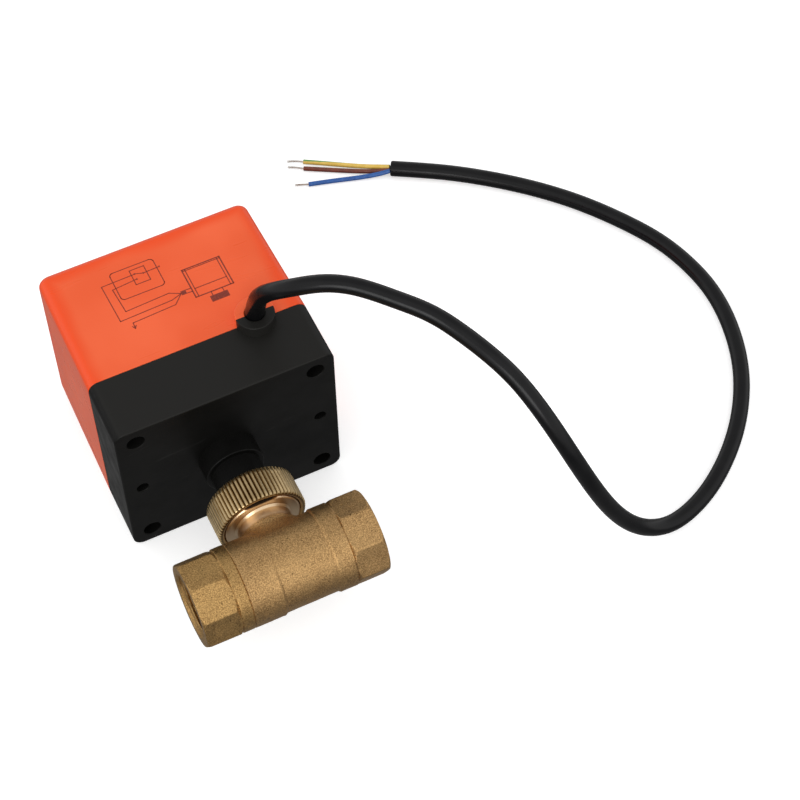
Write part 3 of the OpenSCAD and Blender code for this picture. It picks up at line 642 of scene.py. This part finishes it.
# Each slot: pale colour, dark colour, metallic, roughness, grain size and depth in mm, and its stretch.
PLAIN_FINISHES = {
    "gasket_rubber": ((0.03, 0.03, 0.03), (0.02, 0.02, 0.02), 0, 0.7, 0.5, 0.01),
    "dark_screw": ((0.07, 0.07, 0.075), (0.035, 0.035, 0.037), 1, 0.35, 0.3, 0.008),
    "spring_steel": ((0.55, 0.55, 0.57), (0.40, 0.40, 0.42), 1, 0.25, 0.25, 0.004, (1, 0.1, 1)),
    "ptfe": ((0.85, 0.85, 0.82), (0.78, 0.78, 0.75), 0, 0.5, 0.4, 0.006),
    "chromed_ball": ((0.72, 0.73, 0.75), (0.62, 0.63, 0.66), 1, 0.08, 0.6, 0.002),
    "stem_brass": ((0.72, 0.52, 0.24), (0.58, 0.40, 0.17), 1, 0.25, 0.25, 0.006, (1, 8, 1)),
    "oring_rubber": ((0.022, 0.022, 0.022), (0.014, 0.014, 0.014), 0, 0.55, 0.3, 0.006),
    "shaft_steel": ((0.60, 0.60, 0.62), (0.46, 0.46, 0.48), 1, 0.28, 0.25, 0.006, (1, 8, 1)),
    "white_gear": ((0.82, 0.80, 0.73), (0.74, 0.72, 0.65), 0, 0.42, 0.6, 0.006),
    "steel_gear": ((0.52, 0.54, 0.56), (0.38, 0.40, 0.42), 1, 0.34, 0.3, 0.008),
    "bush_bronze": ((0.62, 0.38, 0.16), (0.46, 0.27, 0.10), 1, 0.4, 0.3, 0.012),
    "zinc_plate": ((0.62, 0.63, 0.64), (0.48, 0.49, 0.47), 1, 0.36, 0.8, 0.008),
    "motor_can": ((0.66, 0.66, 0.68), (0.54, 0.54, 0.56), 1, 0.3, 0.4, 0.005, (1, 0.1, 1)),
    "coil_winding": ((0.60, 0.20, 0.07), (0.42, 0.12, 0.04), 1, 0.3, 0.35, 0.06, (0.05, 4, 0.05)),
    "rotor_magnet": ((0.10, 0.10, 0.11), (0.06, 0.06, 0.065), 0, 0.5, 0.3, 0.012),
    "switch_black": ((0.020, 0.020, 0.020), (0.013, 0.013, 0.013), 0, 0.4, 0.4, 0.008),
    "plunger_red": ((0.62, 0.03, 0.02), (0.48, 0.02, 0.015), 0, 0.35, 0.4, 0.004),
    "board_green": ((0.030, 0.150, 0.050), (0.018, 0.095, 0.032), 0, 0.35, 0.9, 0.01, (1, 1, 6)),
    "terminal_green": ((0.05, 0.30, 0.09), (0.03, 0.22, 0.06), 0, 0.4, 0.5, 0.006),
    "capacitor_red": ((0.50, 0.06, 0.03), (0.40, 0.04, 0.02), 0, 0.3, 0.6, 0.01),
    "tinned_copper": ((0.74, 0.72, 0.68), (0.55, 0.50, 0.44), 1, 0.28, 0.3, 0.01),
}


def make_materials():
    """One material for each slot of the record, and the print's."""
    found = {name: plain_finish(name, *values) for name, values in PLAIN_FINISHES.items()}
    found["orange_cover"] = orange_plastic()
    found["black_housing"] = black_plastic()
    found["cable_black"] = found["gland_rubber"] = sheath_rubber()
    yellow, pale_yellow, green = (0.68, 0.46, 0.08), (0.76, 0.54, 0.12), (0.11, 0.29, 0.07)
    found["wire_green_yellow"] = core_pvc("earth_pvc", yellow, pale_yellow, green)
    found["wire_brown"] = core_pvc("live_pvc", (0.125, 0.026, 0.013), (0.175, 0.038, 0.018))
    found["wire_blue"] = core_pvc("neutral_pvc", (0.010, 0.075, 0.30), (0.016, 0.105, 0.38))
    found["cast_brass"] = cast_brass("cast_brass", (0.345, 0.213, 0.091), (0.265, 0.155, 0.064))
    found["cap_brass"] = cast_brass("cap_brass", (0.335, 0.206, 0.079), (0.255, 0.149, 0.055))
    found["turned_brass"] = knurled_brass()
    found["print"] = print_ink()
    return found


# ---- Lead ----

def make_lead(materials):
    """The sheath, which carries its three cores, each with its tinned end."""
    path = spline(LEAD_ROUTE, LEAD_STEP * MM)
    sheath = dress(tube("lead_sheath", path, SHEATH_R_M, 36), materials["cable_black"],
                   replaces=["cable_sheath"])
    slots = {"earth": "wire_green_yellow", "live": "wire_brown", "neutral": "wire_blue"}
    for name, route in WIRE_ROUTES.items():
        line = spline(route, 0.7 * MM)
        core = dress(tube("core_" + name, line, WIRE_R_M, 20), materials[slots[name]],
                     replaces=["wire_" + name])
        tip = make_tip(name, materials["tinned_copper"])
    return path


def make_tip(name, material):
    """Six strands twisted round a seventh, fanning out a little at the free end."""
    middle = spline(TIP_ROUTES[name], 0.25 * MM)
    axes = frames(middle)
    strands = []
    for strand in range(7):
        line = []
        for i, (point, (_, side, up)) in enumerate(zip(middle, axes)):
            share = i / (len(middle) - 1)
            turn = math.tau * (strand / 6 + 1.1 * share)
            off = 0 if strand == 6 else STRAND_R_M * (2.0 + 0.9 * share ** 3)
            lag = 1 - 0.06 * (strand % 3) * share ** 4
            line.append(point.lerp(middle[0], 1 - lag) + off * (math.cos(turn) * side + math.sin(turn) * up))
        strands.append(skin([ring_across(point, across, STRAND_R_M, even_turns(8))
                             for point, across in zip(line, frames(line))]))
    obj = mesh_object("tinned_end_" + name, merge(strands), Matrix.Identity(4))
    return dress(obj, material, replaces=["tip_" + name])


# ---- Housing ----

def pillar(radius, low, high, at, sides=40):
    """A plain round post or drill at a place in the upright frame."""
    form = revolve([(radius, low), (radius, high)], sides)
    return mesh_object("post", form, LAY @ Matrix.Translation((*at, 0)))


def corners():
    """Places of the four cover screws."""
    return [(sx * CORNER_SCREW[0], sy * CORNER_SCREW[1]) for sx in (-1, 1) for sy in (-1, 1)]


def screw_drill(at, head, shank, top):
    """Recess for a screw's head, with a rounded mouth, and the hole for its shank."""
    wide = head + MOUTH_ROUND
    mouth = [(wide, -1), (wide, -0.02)] + arc(wide, MOUTH_ROUND, MOUTH_ROUND, 270, 180, 4)
    profile = [(0, -1)] + mouth + [(head, RECESS), (shank, RECESS), (shank, top), (0, top)]
    return mesh_object("drill", revolve(profile, 48), LAY @ Matrix.Translation((*at, 0)))


def block(low, high):
    """A plain box between two corners, for cutting."""
    corners_at = [(x, y, z) for z in (low[2], high[2]) for x, y in
                  ((low[0], low[1]), (high[0], low[1]), (high[0], high[1]), (low[0], high[1]))]
    return skin([corners_at[:4], corners_at[4:]])


def half_boss(low, high):
    """Half of the lead's round boss on the label face, between two heights, with a rounded rim."""
    profile = [(0, -WALL / 2), (BOSS_R, -WALL / 2), (BOSS_R, BOSS_H - MOUTH_ROUND)]
    profile += arc(BOSS_R - MOUTH_ROUND, BOSS_H - MOUTH_ROUND, MOUTH_ROUND, 0, 90, 4)[1:] + [(0, BOSS_H)]
    boss = mesh_object("boss", revolve(profile, 96), AT_GLAND)
    half = block((GLAND_X - 10, -BOX_D / 2 - 10, low), (GLAND_X + 10, 0, high))
    return combine(boss, [mesh_object("half", half)], "INTERSECT")


def gland_drill():
    """Drill through the boss: wide for the gland, and narrow at the lip that the lead comes out of."""
    inner = BOSS_H - BOSS_LIP
    profile = [(0, -WALL - 2), (GLAND_NECK_R, -WALL - 2), (GLAND_NECK_R, inner), (MOUTH_R, inner)]
    profile += [(MOUTH_R, BOSS_H - 0.2), (MOUTH_R + 0.3, BOSS_H + 0.1), (0, BOSS_H + 0.1)]
    return mesh_object("drill", revolve(profile, 64), AT_GLAND)


def make_base(material):
    """Black base: a shell with a round front edge, screw pillars, the spigot and half of the lead's boss."""
    inner_w, inner_d = BOX_W - 2 * WALL, BOX_D - 2 * WALL
    rings = [rounded_rect(inner_w, inner_d, CORNER_R - 1, z) for z in (FLOOR_T, BASE_H)]
    for inset, z in arc(SEAM_ROUND, BASE_H - SEAM_ROUND, SEAM_ROUND, 90, 180, 3):
        rings.append(rounded_rect(BOX_W - 2 * inset, BOX_D - 2 * inset, CORNER_R, z))
    for inset, z in arc(FRONT_ROUND, FRONT_ROUND, FRONT_ROUND, 180, 270, 6):
        rings.append(rounded_rect(BOX_W - 2 * inset, BOX_D - 2 * inset, CORNER_R - inset * 0.6, z))
    base = mesh_object("base_housing", skin(rings))
    posts = [pillar(PILLAR_R, PILLAR_FOOT, BASE_H - SEAM_GAP, at) for at in corners()]
    posts += [pillar(MIDDLE_PILLAR_R, PILLAR_FOOT, MIDDLE_PILLAR_H, (s * MIDDLE_SCREW, 0)) for s in (-1, 1)]
    edge = SPIGOT_ROUND
    spigot = [(0, FLOOR_T - 1), (SHOULDER_R, FLOOR_T - 1)]
    spigot += arc(SHOULDER_R - edge, edge - SHOULDER_LEN, edge, 360, 270, 4) + [(SPIGOT_R, -SHOULDER_LEN)]
    spigot += [(SPIGOT_R, RING_TOP), (SPIGOT_R - RING_GROOVE, RING_TOP)]
    spigot += [(SPIGOT_R - RING_GROOVE, RING_LOW), (SPIGOT_R, RING_LOW), (SPIGOT_R, edge - SPIGOT_LEN)]
    spigot += [(SPIGOT_R - edge, -SPIGOT_LEN), (0, -SPIGOT_LEN)]
    posts += [mesh_object("spigot", revolve(spigot, 96), ON_SHAFT), half_boss(0, BASE_H)]
    combine(base, posts, "UNION")
    drills = [screw_drill(at, SCREW_HEAD_R, SCREW_R, BASE_H + 1) for at in corners()]
    drills += [screw_drill((s * MIDDLE_SCREW, 0), FRAME_SCREW_HEAD_R, FRAME_SCREW_R, BASE_H) for s in (-1, 1)]
    drills.append(pillar(SLEEVE_R, -SPIGOT_LEN - 1, SLEEVE_TOP, (SHAFT_X, 0), 64))
    drills.append(pillar(SHAFT_HOLE_R, -2, 8, (SHAFT_X, 0), 48))
    drills.append(gland_drill())
    combine(base, drills, "DIFFERENCE")
    return dress(base, material, replaces=["actuator_base"], weighted=True)


def cover_ring(z, inset=0.0, radius=CORNER_R):
    """The cover's outline at a height: it leans in towards its top."""
    share = (z - BASE_H) / (BOX_H - BASE_H)
    width, depth = BOX_W - 2 * (DRAFT_X * share + inset), BOX_D - 2 * (DRAFT_Y * share + inset)
    return rounded_rect(width, depth, radius, z, 10)


def make_cover(material):
    """Orange cover: a tapering shell with a soft top edge and the other half of the lead's boss."""
    rings = [cover_ring(z, WALL, CORNER_R - 1) for z in (BOX_H - WALL, BASE_H)]
    for inset, z in arc(LIP_ROUND, BASE_H + LIP_ROUND, LIP_ROUND, 270, 180, 4):
        rings.append(cover_ring(z, inset))
    for inset, z in arc(TOP_ROUND, BOX_H - TOP_ROUND, TOP_ROUND, 180, 90, 8):
        rings.append(cover_ring(z, inset, CORNER_R - inset * 0.55))
    cover = mesh_object("cover_housing", skin(rings))
    posts = [pillar(PILLAR_R, BASE_H + SEAM_GAP, BASE_H + COVER_PILLAR_H, at) for at in corners()]
    posts.append(half_boss(BASE_H, BOX_H / 2))
    combine(cover, posts, "UNION")
    drills = [pillar(SCREW_R, BASE_H - 1, BASE_H + COVER_HOLE_H, at) for at in corners()]
    combine(cover, drills + [gland_drill()], "DIFFERENCE")
    return dress(cover, material, replaces=["cover"], weighted=True)


def make_gland(material, path):
    """Rubber gland in the boss, and its slim tapered sleeve that hugs the first stretch of the lead."""
    gap = 0.05
    foot, top = -WALL - 2.2, BOSS_H - BOSS_LIP - gap
    neck = GLAND_NECK_R - gap
    body = [(0, foot), (GLAND_FLANGE_R, foot), (GLAND_FLANGE_R, foot + GLAND_FLANGE_T)]
    body += [(neck, foot + GLAND_FLANGE_T), (neck, top), (0, top)]
    gland = mesh_object("gland", revolve(body, 80), AT_GLAND)
    drill = revolve([(GLAND_HOLE_R, foot - 1), (GLAND_HOLE_R, BOSS_H + 1)], 40)
    combine(gland, [mesh_object("drill", drill, AT_GLAND)], "DIFFERENCE")
    start = path[0] - (path[1] - path[0]).normalized() * LEAD_STEP * MM
    line = respace([start] + path[: round(RELIEF_LEN / LEAD_STEP)], 0.8 * MM)
    last = len(line) - 1
    stops = [(i, RELIEF_R - RELIEF_TAPER * (i / last) ** 0.7) for i in range(last)] + [(last, RELIEF_TIP_R)]
    stops += [(i, RELIEF_BORE_R) for i in range(last, -1, -1)]
    axes = frames(line)
    rings = [ring_across(line[i], axes[i], r * MM, even_turns(36)) for i, r in stops]
    sleeve = mesh_object("sleeve", skin(rings, loop=True), Matrix.Identity(4))
    combine(gland, [sleeve], "UNION")
    return dress(gland, material, replaces=["cable_gland"])


# ---- Printed diagram ----

def on_label(x, z, proud):
    """A point of the cover's label face, which leans in towards its top."""
    share = (z - BASE_H) / (BOX_H - BASE_H)
    return (x, -(BOX_D / 2 - DRAFT_Y * share + proud), z)


def raised(foot, height):
    """A thin patch of ink on the label face, over an outline of (x, z) points."""
    return skin([[on_label(x, z, proud) for x, z in foot] for proud in (-0.05, height)])


def stroke(points, width):
    """Thin raised bars along a line of (x, z) points on the label face."""
    bars = []
    for (ax, az), (bx, bz) in zip(points, points[1:]):
        along = Vector((bx - ax, bz - az))
        along.normalize()
        dx, dz = along.x * width / 2, along.y * width / 2
        ax, az, bx, bz = ax - dx, az - dz, bx + dx, bz + dz
        foot = [(ax - dz, az + dx), (bx - dz, bz + dx), (bx + dz, bz - dx), (ax + dz, az - dx)]
        bars.append(raised(foot, 0.03))
    return bars


def box_line(left, low, right, high, radius=0.0):
    """Closed outline of a box, with round corners where radius is given."""
    if not radius:
        return [(left, low), (right, low), (right, high), (left, high), (left, low)]
    points = []
    for quarter, (x, z) in enumerate(((right, high), (left, high), (left, low), (right, low))):
        x += -radius if quarter in (0, 3) else radius
        z += -radius if quarter < 2 else radius
        points += arc(x, z, radius, 90 * quarter, 90 * quarter + 90, 6)
    return points + points[:1]


def make_print(material):
    """A wiring diagram without lettering: a room switch, three wires and the actuator with its valve."""
    thin, bold = 0.3, 0.42
    plug = (3.1, 43)
    lines = [
        box_line(-15, 48.9, 0.1, 60.8, 1.3), box_line(-8.5, 52.9, -3.5, 59.2),
        [(-4.7, 56.4), (-7.3, 57.3)], [(-4.7, 56.4), (0.9, 56.6)],
        [(-7.4, 57.2), (-19, 57), (-18.6, 41.2), (-0.6, 41.8), plug],
        [(-7.4, 55), (-16.2, 54.3), (-15.6, 44.2), (-0.4, 44.9), plug],
        [(-15.3, 36.6), (-15.2, 38.9), (-0.2, 39.6), plug],
        [(-15.9, 37.6), (-15.3, 36.5), (-14.7, 37.6)],
        [(7.8, 39.4), (7.8, 51.7)], [(18.9, 39.4), (18.9, 51.7)],
        [(7.8, 42.9), (18.9, 42.9)], [(6.8, 51.1), (19.9, 51.1)],
        [(4.8, 43.7), (6.8, 43.6)], [(4.8, 42.3), (6.8, 42.2)],
        [(12, 37.8), (12, 39.4)], [(15.9, 37.8), (15.9, 39.4)],
    ]
    bars = stroke(box_line(6.8, 39.4, 19.9, 51.7), bold)
    bars += [bar for line in lines for bar in stroke(line, thin)]
    blocks = [(3.1, 4.8, 43, 1.7), (10.9, 17, 36.5, 2.5)]
    blocks += [(x - 0.15, x + 0.15, z, 0.7) for x, z in ((-7.4, 57.3), (-7.4, 55), (-4.7, 56.4), (1, 56.6))]
    for left, right, z, width in blocks:
        low, high = z - width / 2, z + width / 2
        bars.append(raised([(left, low), (right, low), (right, high), (left, high)], 0.035))
    return dress(mesh_object("wiring_print", merge(bars)), material)


# ---- Valve ----

def octagon(angle, turn):
    """Radius of the octagon at an angle, with its arrises a little blunted."""
    off = (math.degrees(angle) - turn) % 45 - 22.5
    return min(END_AF / 2 / math.cos(math.radians(off)), END_R - ARRIS)


def octagon_turns(turn):
    """Angles round the pipe: close on each arris, even between them."""
    angles = []
    for k in range(8):
        arris = turn + 45 * k
        angles += [arris + d for d in (-1.6, -1.0, -0.4, 0.4, 1.0, 1.6)]
        angles += [arris + 1.6 + (45 - 3.2) * j / 20 for j in range(1, 20)]
    return [math.radians(a) for a in angles]


def cast(x, radius, angle, depth=0.05):
    """Radius with the gentle unevenness of a casting."""
    at = Vector((x, radius * math.cos(angle), radius * math.sin(angle)))
    return radius + depth * noise.noise(at * 0.22) + depth * 0.5 * noise.noise(at * 0.9)


def cast_octagon(radius, x, angle, turn, ramp):
    """Radius of a cast octagon whose end ramps up to the round section beside it."""
    shaped = min(octagon(angle, turn), radius)
    if ramp > 0:
        shaped = max(shaped, (SECTION_R - 0.5) + 0.45 * ramp)
    return cast(x, shaped, angle, 0.03)


def stations(points, step):
    """(radius, x) points with more put between them, at most step apart along the pipe."""
    out = [points[0]]
    for (ar, ax), (br, bx) in zip(points, points[1:]):
        count = max(1, math.ceil(abs(bx - ax) / step))
        out += [(ar + (br - ar) * k / count, ax + (bx - ax) * k / count) for k in range(1, count + 1)]
    return out


def port_profile(mouth, inward):
    """(radius, x) stations of a threaded port from its mouth inward; inward is +1 or -1 along the pipe."""
    steps = 60
    length = PORT_LEN - PORT_CHAMFER
    points = [(PORT_R + PORT_CHAMFER, mouth), (PORT_R, mouth + inward * PORT_CHAMFER)]
    points += [(PORT_R, mouth + inward * (PORT_CHAMFER + length * k / steps)) for k in range(1, steps + 1)]
    far = mouth + inward * PORT_LEN
    end = far + inward * UNDERCUT_LEN
    return points + [(UNDERCUT_R, far), (UNDERCUT_R, end), (WATER_R, end)]


def thread(x, angle, mouth):
    """Depth of the thread's ridge at a place in a port: nothing at the mouth and at the far end."""
    within = abs(x - mouth)
    phase = (x / PORT_PITCH - angle / math.tau) % 1
    ridge = max(0.0, min(1.0, 1.5 - abs(phase - 0.5) * 4))
    fade = min(1, max(0, (within - 0.5) / 0.9)) * min(1, max(0, (PORT_LEN - 0.2 - within) / 0.9))
    return (PORT_R - PORT_CREST_R) * ridge * fade


def pipe_piece(name, outer, inner, turn, radius_at, mouth):
    """A closed form round the pipe: the outer stations one way and the inner ones back.
    radius_at(radius, x, angle) shapes the outside."""
    turns = octagon_turns(turn)
    rings = [ring(turns, [radius_at(radius, x, a) for a in turns], x) for radius, x in outer]
    for radius, x in inner:
        in_port = abs(x - mouth) < PORT_LEN and radius >= UNDERCUT_R + 0.5
        rings.append(ring(turns, [radius - (thread(x, a, mouth) if in_port else 0) for a in turns], x))
    return mesh_object(name, skin(rings, loop=True), ON_PIPE)


def make_cap(material):
    """End cap: an octagon with a turned chamfer at its mouth, and a round collar at the seam."""
    fall = CAP_OCTAGON_END - OCTAGON_SLOPE
    outer = stations([(END_R - END_CHAMFER, PIPE_LEFT), (END_R, PIPE_LEFT + END_CHAMFER)], 0.25)
    outer += stations([(END_R, PIPE_LEFT + END_CHAMFER), (END_R, fall)], 0.9)[1:]
    outer += stations([(END_R, fall), (END_R - OCTAGON_SLOPE, CAP_OCTAGON_END)], 0.14)[1:]
    outer += stations([(SECTION_R, CAP_OCTAGON_END + 0.12), (SECTION_R, CAP_SEAM - SEAM_CHAMFER)], 0.8)
    outer += [(SECTION_R - SEAM_CHAMFER, CAP_SEAM), (CAP_THREAD_R, CAP_SEAM), (CAP_THREAD_R, CAP_THREAD_END)]
    inner = [(WATER_R, CAP_THREAD_END)] + port_profile(PIPE_LEFT, 1)[::-1]

    def radius_at(radius, x, angle):
        if x > CAP_OCTAGON_END + 0.01:
            return cast(x, radius, angle) if radius > CAP_THREAD_R + 0.5 else radius
        return cast_octagon(radius, x, angle, CAP_TURN, (x - (CAP_OCTAGON_END - 0.35)) / 0.35)

    cap = pipe_piece("end_cap_brass", outer, inner, CAP_TURN, radius_at, PIPE_LEFT)
    return dress(cap, material, replaces=["end_cap"], sharp=28)


def make_body(material):
    """Valve body: round sections beside the barrel, an octagon at the right end, and the neck."""
    rise = OCTAGON_LEFT + OCTAGON_SLOPE
    barrel = [(SECTION_R - SEAM_CHAMFER, CAP_SEAM), (SECTION_R, CAP_SEAM + SEAM_CHAMFER),
              (SECTION_R, BARREL_LEFT - 0.5), (SECTION_R + 0.08, BARREL_LEFT - 0.15),
              (SECTION_R, BARREL_LEFT + 0.15), (BARREL_R, BARREL_LEFT + 0.9),
              (BARREL_R, BARREL_RIGHT - 0.5), (SECTION_R - 0.05, BARREL_RIGHT),
              (SECTION_R + 0.05, BARREL_RIGHT + 0.3), (SECTION_R, BARREL_RIGHT + 0.7),
              (SECTION_R, OCTAGON_LEFT)]
    outer = stations(barrel, 0.8)
    outer += stations([(END_R - 1.3, OCTAGON_LEFT + 0.12), (END_R, rise)], 0.14)
    outer += stations([(END_R, rise), (END_R, PIPE_RIGHT - END_CHAMFER)], 0.9)[1:]
    outer += stations([(END_R, PIPE_RIGHT - END_CHAMFER), (END_R - END_CHAMFER, PIPE_RIGHT)], 0.25)[1:]
    inner = port_profile(PIPE_RIGHT, -1)
    inner += [(WATER_R, CAVITY_END), (CAVITY_R, CAVITY_END), (CAVITY_R, CAP_THREAD_END + 0.2)]
    inner += [(CAP_THREAD_R + 0.05, CAP_THREAD_END + 0.2), (CAP_THREAD_R + 0.05, CAP_SEAM)]

    def radius_at(radius, x, angle):
        if x < OCTAGON_LEFT + 0.06:
            return cast(x, radius, angle)
        return cast_octagon(radius, x, angle, 0, 1 - (x - OCTAGON_LEFT) / 0.45)

    body = pipe_piece("valve_body_brass", outer, inner, 0, radius_at, PIPE_RIGHT)
    combine(body, [make_neck()], "UNION")
    drills = [revolve([(STEM_HOLE_R, -PIPE_DROP), (STEM_HOLE_R, NECK_TOP + 1)], 48),
              revolve([(STEM_RECESS_R, NECK_TOP - STEM_RECESS), (STEM_RECESS_R, NECK_TOP + 1)], 64)]
    drills.append(block((-10, -COLLAR_R - 1, COLLAR_LOW - 0.6), (10, -COLLAR_FLAT, NECK_TOP + 1)))
    combine(body, [mesh_object("drill", drill, ON_SHAFT) for drill in drills], "DIFFERENCE")
    return dress(body, material, replaces=["valve_body"], sharp=28)


def make_neck():
    """Smooth waist that flares onto the barrel, under a collar with narrow chamfers."""
    turns = even_turns(128)

    def on_barrel(radius, lift):
        return [math.sqrt(BARREL_R ** 2 - (radius * math.sin(a)) ** 2) - PIPE_DROP + lift for a in turns]

    core, wide = 6, NECK_R + NECK_FILLET
    rings = [ring(turns, core, on_barrel(core, -2)), ring(turns, wide - 0.4, on_barrel(wide, -1.2))]
    for k in range(11):
        turn = math.pi / 2 * (1 - k / 10)
        radius = NECK_R + NECK_FILLET * (1 - math.cos(turn))
        lift = NECK_FILLET * (1 - math.sin(turn)) - 0.1 * (1 - k / 10) ** 2
        rings.append(ring(turns, radius, on_barrel(radius, lift)))
    under = COLLAR_LOW + 0.1
    profile = [(NECK_R, under - 0.7), (NECK_R + 0.6, under), (COLLAR_R - 0.5, COLLAR_LOW)]
    profile += [(COLLAR_R - 0.1, COLLAR_LOW + 0.3), (COLLAR_R, COLLAR_LOW + 0.5), (COLLAR_R, NECK_TOP - 0.8)]
    profile += [(COLLAR_R - 0.8, NECK_TOP), (4, NECK_TOP)]
    rings += [ring(turns, radius, z) for radius, z in profile]
    return mesh_object("neck", skin(rings), ON_SHAFT)


def make_nut(material):
    """Union nut with a straight knurl that runs out on a small chamfer above and shows as teeth below."""
    cuts = (0, 0.22, 0.45, 0.585, 0.72, 0.86)
    depths = (0, 0, 0, 0.5, 1, 0.5)
    turns = [math.tau * (tooth + c) / NUT_TEETH for tooth in range(NUT_TEETH) for c in cuts]
    groove = {round(t, 9): depths[i % len(cuts)] for i, t in enumerate(turns)}

    def shape(radius, _, angle):
        if radius < NUT_R - 0.75:
            return radius
        return min(radius, NUT_R - NUT_GROOVE * groove[round(angle, 9)])

    outer = [(NUT_R - 0.65, NUT_LOW), (NUT_R - 0.35, NUT_LOW + 0.15), (NUT_R, NUT_LOW + 0.8)]
    outer += [(NUT_R, NUT_LOW + 0.8 + (NUT_TOP - NUT_LOW - 1.3) * k / 6) for k in range(1, 7)]
    outer += [(NUT_R - 0.25, NUT_TOP - 0.2), (NUT_R - 0.6, NUT_TOP)]
    lip = SPIGOT_R + 0.3
    seat = RING_TOP + 0.05
    inner = [(lip, NUT_TOP), (lip, seat), (NUT_BORE_R, seat), (NUT_BORE_R, NUT_LOW + 0.7)]
    inner += [(NUT_BORE_R + 0.2, NUT_LOW + 0.3), (NUT_BORE_R + 0.6, NUT_LOW)]
    form = revolve(outer + inner, loop=True, turns=turns, shape=shape)
    nut = mesh_object("union_nut_brass", form, ON_SHAFT)
    return dress(nut, material, body="union_nut", replaces=["union_nut"], sharp=40)


# ---- Nodes kept from the CAD ----

def dress_nodes(materials):
    """Gives every CAD node the finish of its slot in the record."""
    slots = {row["node"]: row["material_slot"] for row in frame["record"]["subparts"]}
    for name, obj in frame["nodes"].items():
        obj.data.materials.clear()
        obj.data.materials.append(materials[slots[name]])


# ---- Studio ----

def light_towards(tree, direction, towards, outer, inner, low, high):
    """Light of high within inner degrees of one direction, easing to low beyond outer degrees."""
    near = vector_node(tree, "DOT_PRODUCT", direction, Vector(towards).normalized())["Value"]
    return spread(tree, near, math.cos(math.radians(outer)), math.cos(math.radians(inner)), low, high)


def make_studio():
    """White floor under a bright dome that is dark below, with a darker panel where level faces mirror it and
    a small soft box low on the left, which gives the lead and the nut their highlight."""
    outline = [(-FLOOR_M, -FLOOR_M, 0), (FLOOR_M, -FLOOR_M, 0), (FLOOR_M, FLOOR_M, 0), (-FLOOR_M, FLOOR_M, 0)]
    floor = mesh_object("floor", (outline, [(0, 1, 2, 3)]), Matrix.Identity(4))
    material, tree, shader = start_material("floor", specular=0.0)
    paper = mottled(tree, 40, 2, (0.84, 0.84, 0.84), (0.86, 0.86, 0.86))
    roughness = spread(tree, grain(tree, 5, 2), 0.3, 0.7, 0.8, 0.9)
    plug_in(tree, shader, paper, roughness, bump(tree, grain(tree, 1), 0.01))
    shader.inputs["Emission Color"].default_value = (1, 1, 1, 1)
    shader.inputs["Emission Strength"].default_value = FLOOR_GLOW
    floor.data.materials.append(material)
    floor.visible_diffuse = floor.visible_glossy = False

    world = bpy.data.worlds.new("studio")
    scene.world = world
    world.use_nodes = True
    tree = world.node_tree
    direction = add(tree, "ShaderNodeTexCoord").outputs["Generated"]
    direction = vector_node(tree, "NORMALIZE", direction)[0]
    light = light_towards(tree, direction, PANEL_TOWARDS, 58, 30, DOME, DOME_PANEL)
    height = add(tree, "ShaderNodeSeparateXYZ", {0: direction}).outputs[2]
    light = math_node(tree, "MULTIPLY", light, spread(tree, height, -0.30, 0.05, DOME_BELOW, 1.0))
    soft_box = light_towards(tree, direction, SOFT_BOX_TOWARDS, 18, 11, 0, SOFT_BOX)
    light = math_node(tree, "ADD", light, soft_box)
    background = tree.nodes["Background"]
    tree.links.new(light, background.inputs["Strength"])
    background.inputs["Color"].default_value = (1, 1, 1, 1)
    scene.view_settings.view_transform = "Standard"


# ---- Assembly ----

materials = make_materials()
make_camera()
lead_path = make_lead(materials)
dress_nodes(materials)
make_base(materials["black_housing"])
make_cover(materials["orange_cover"])
make_gland(materials["gland_rubber"], lead_path)
make_print(materials["print"])
make_cap(materials["cap_brass"])
make_body(materials["cast_brass"])
make_nut(materials["turned_brass"])
make_studio()
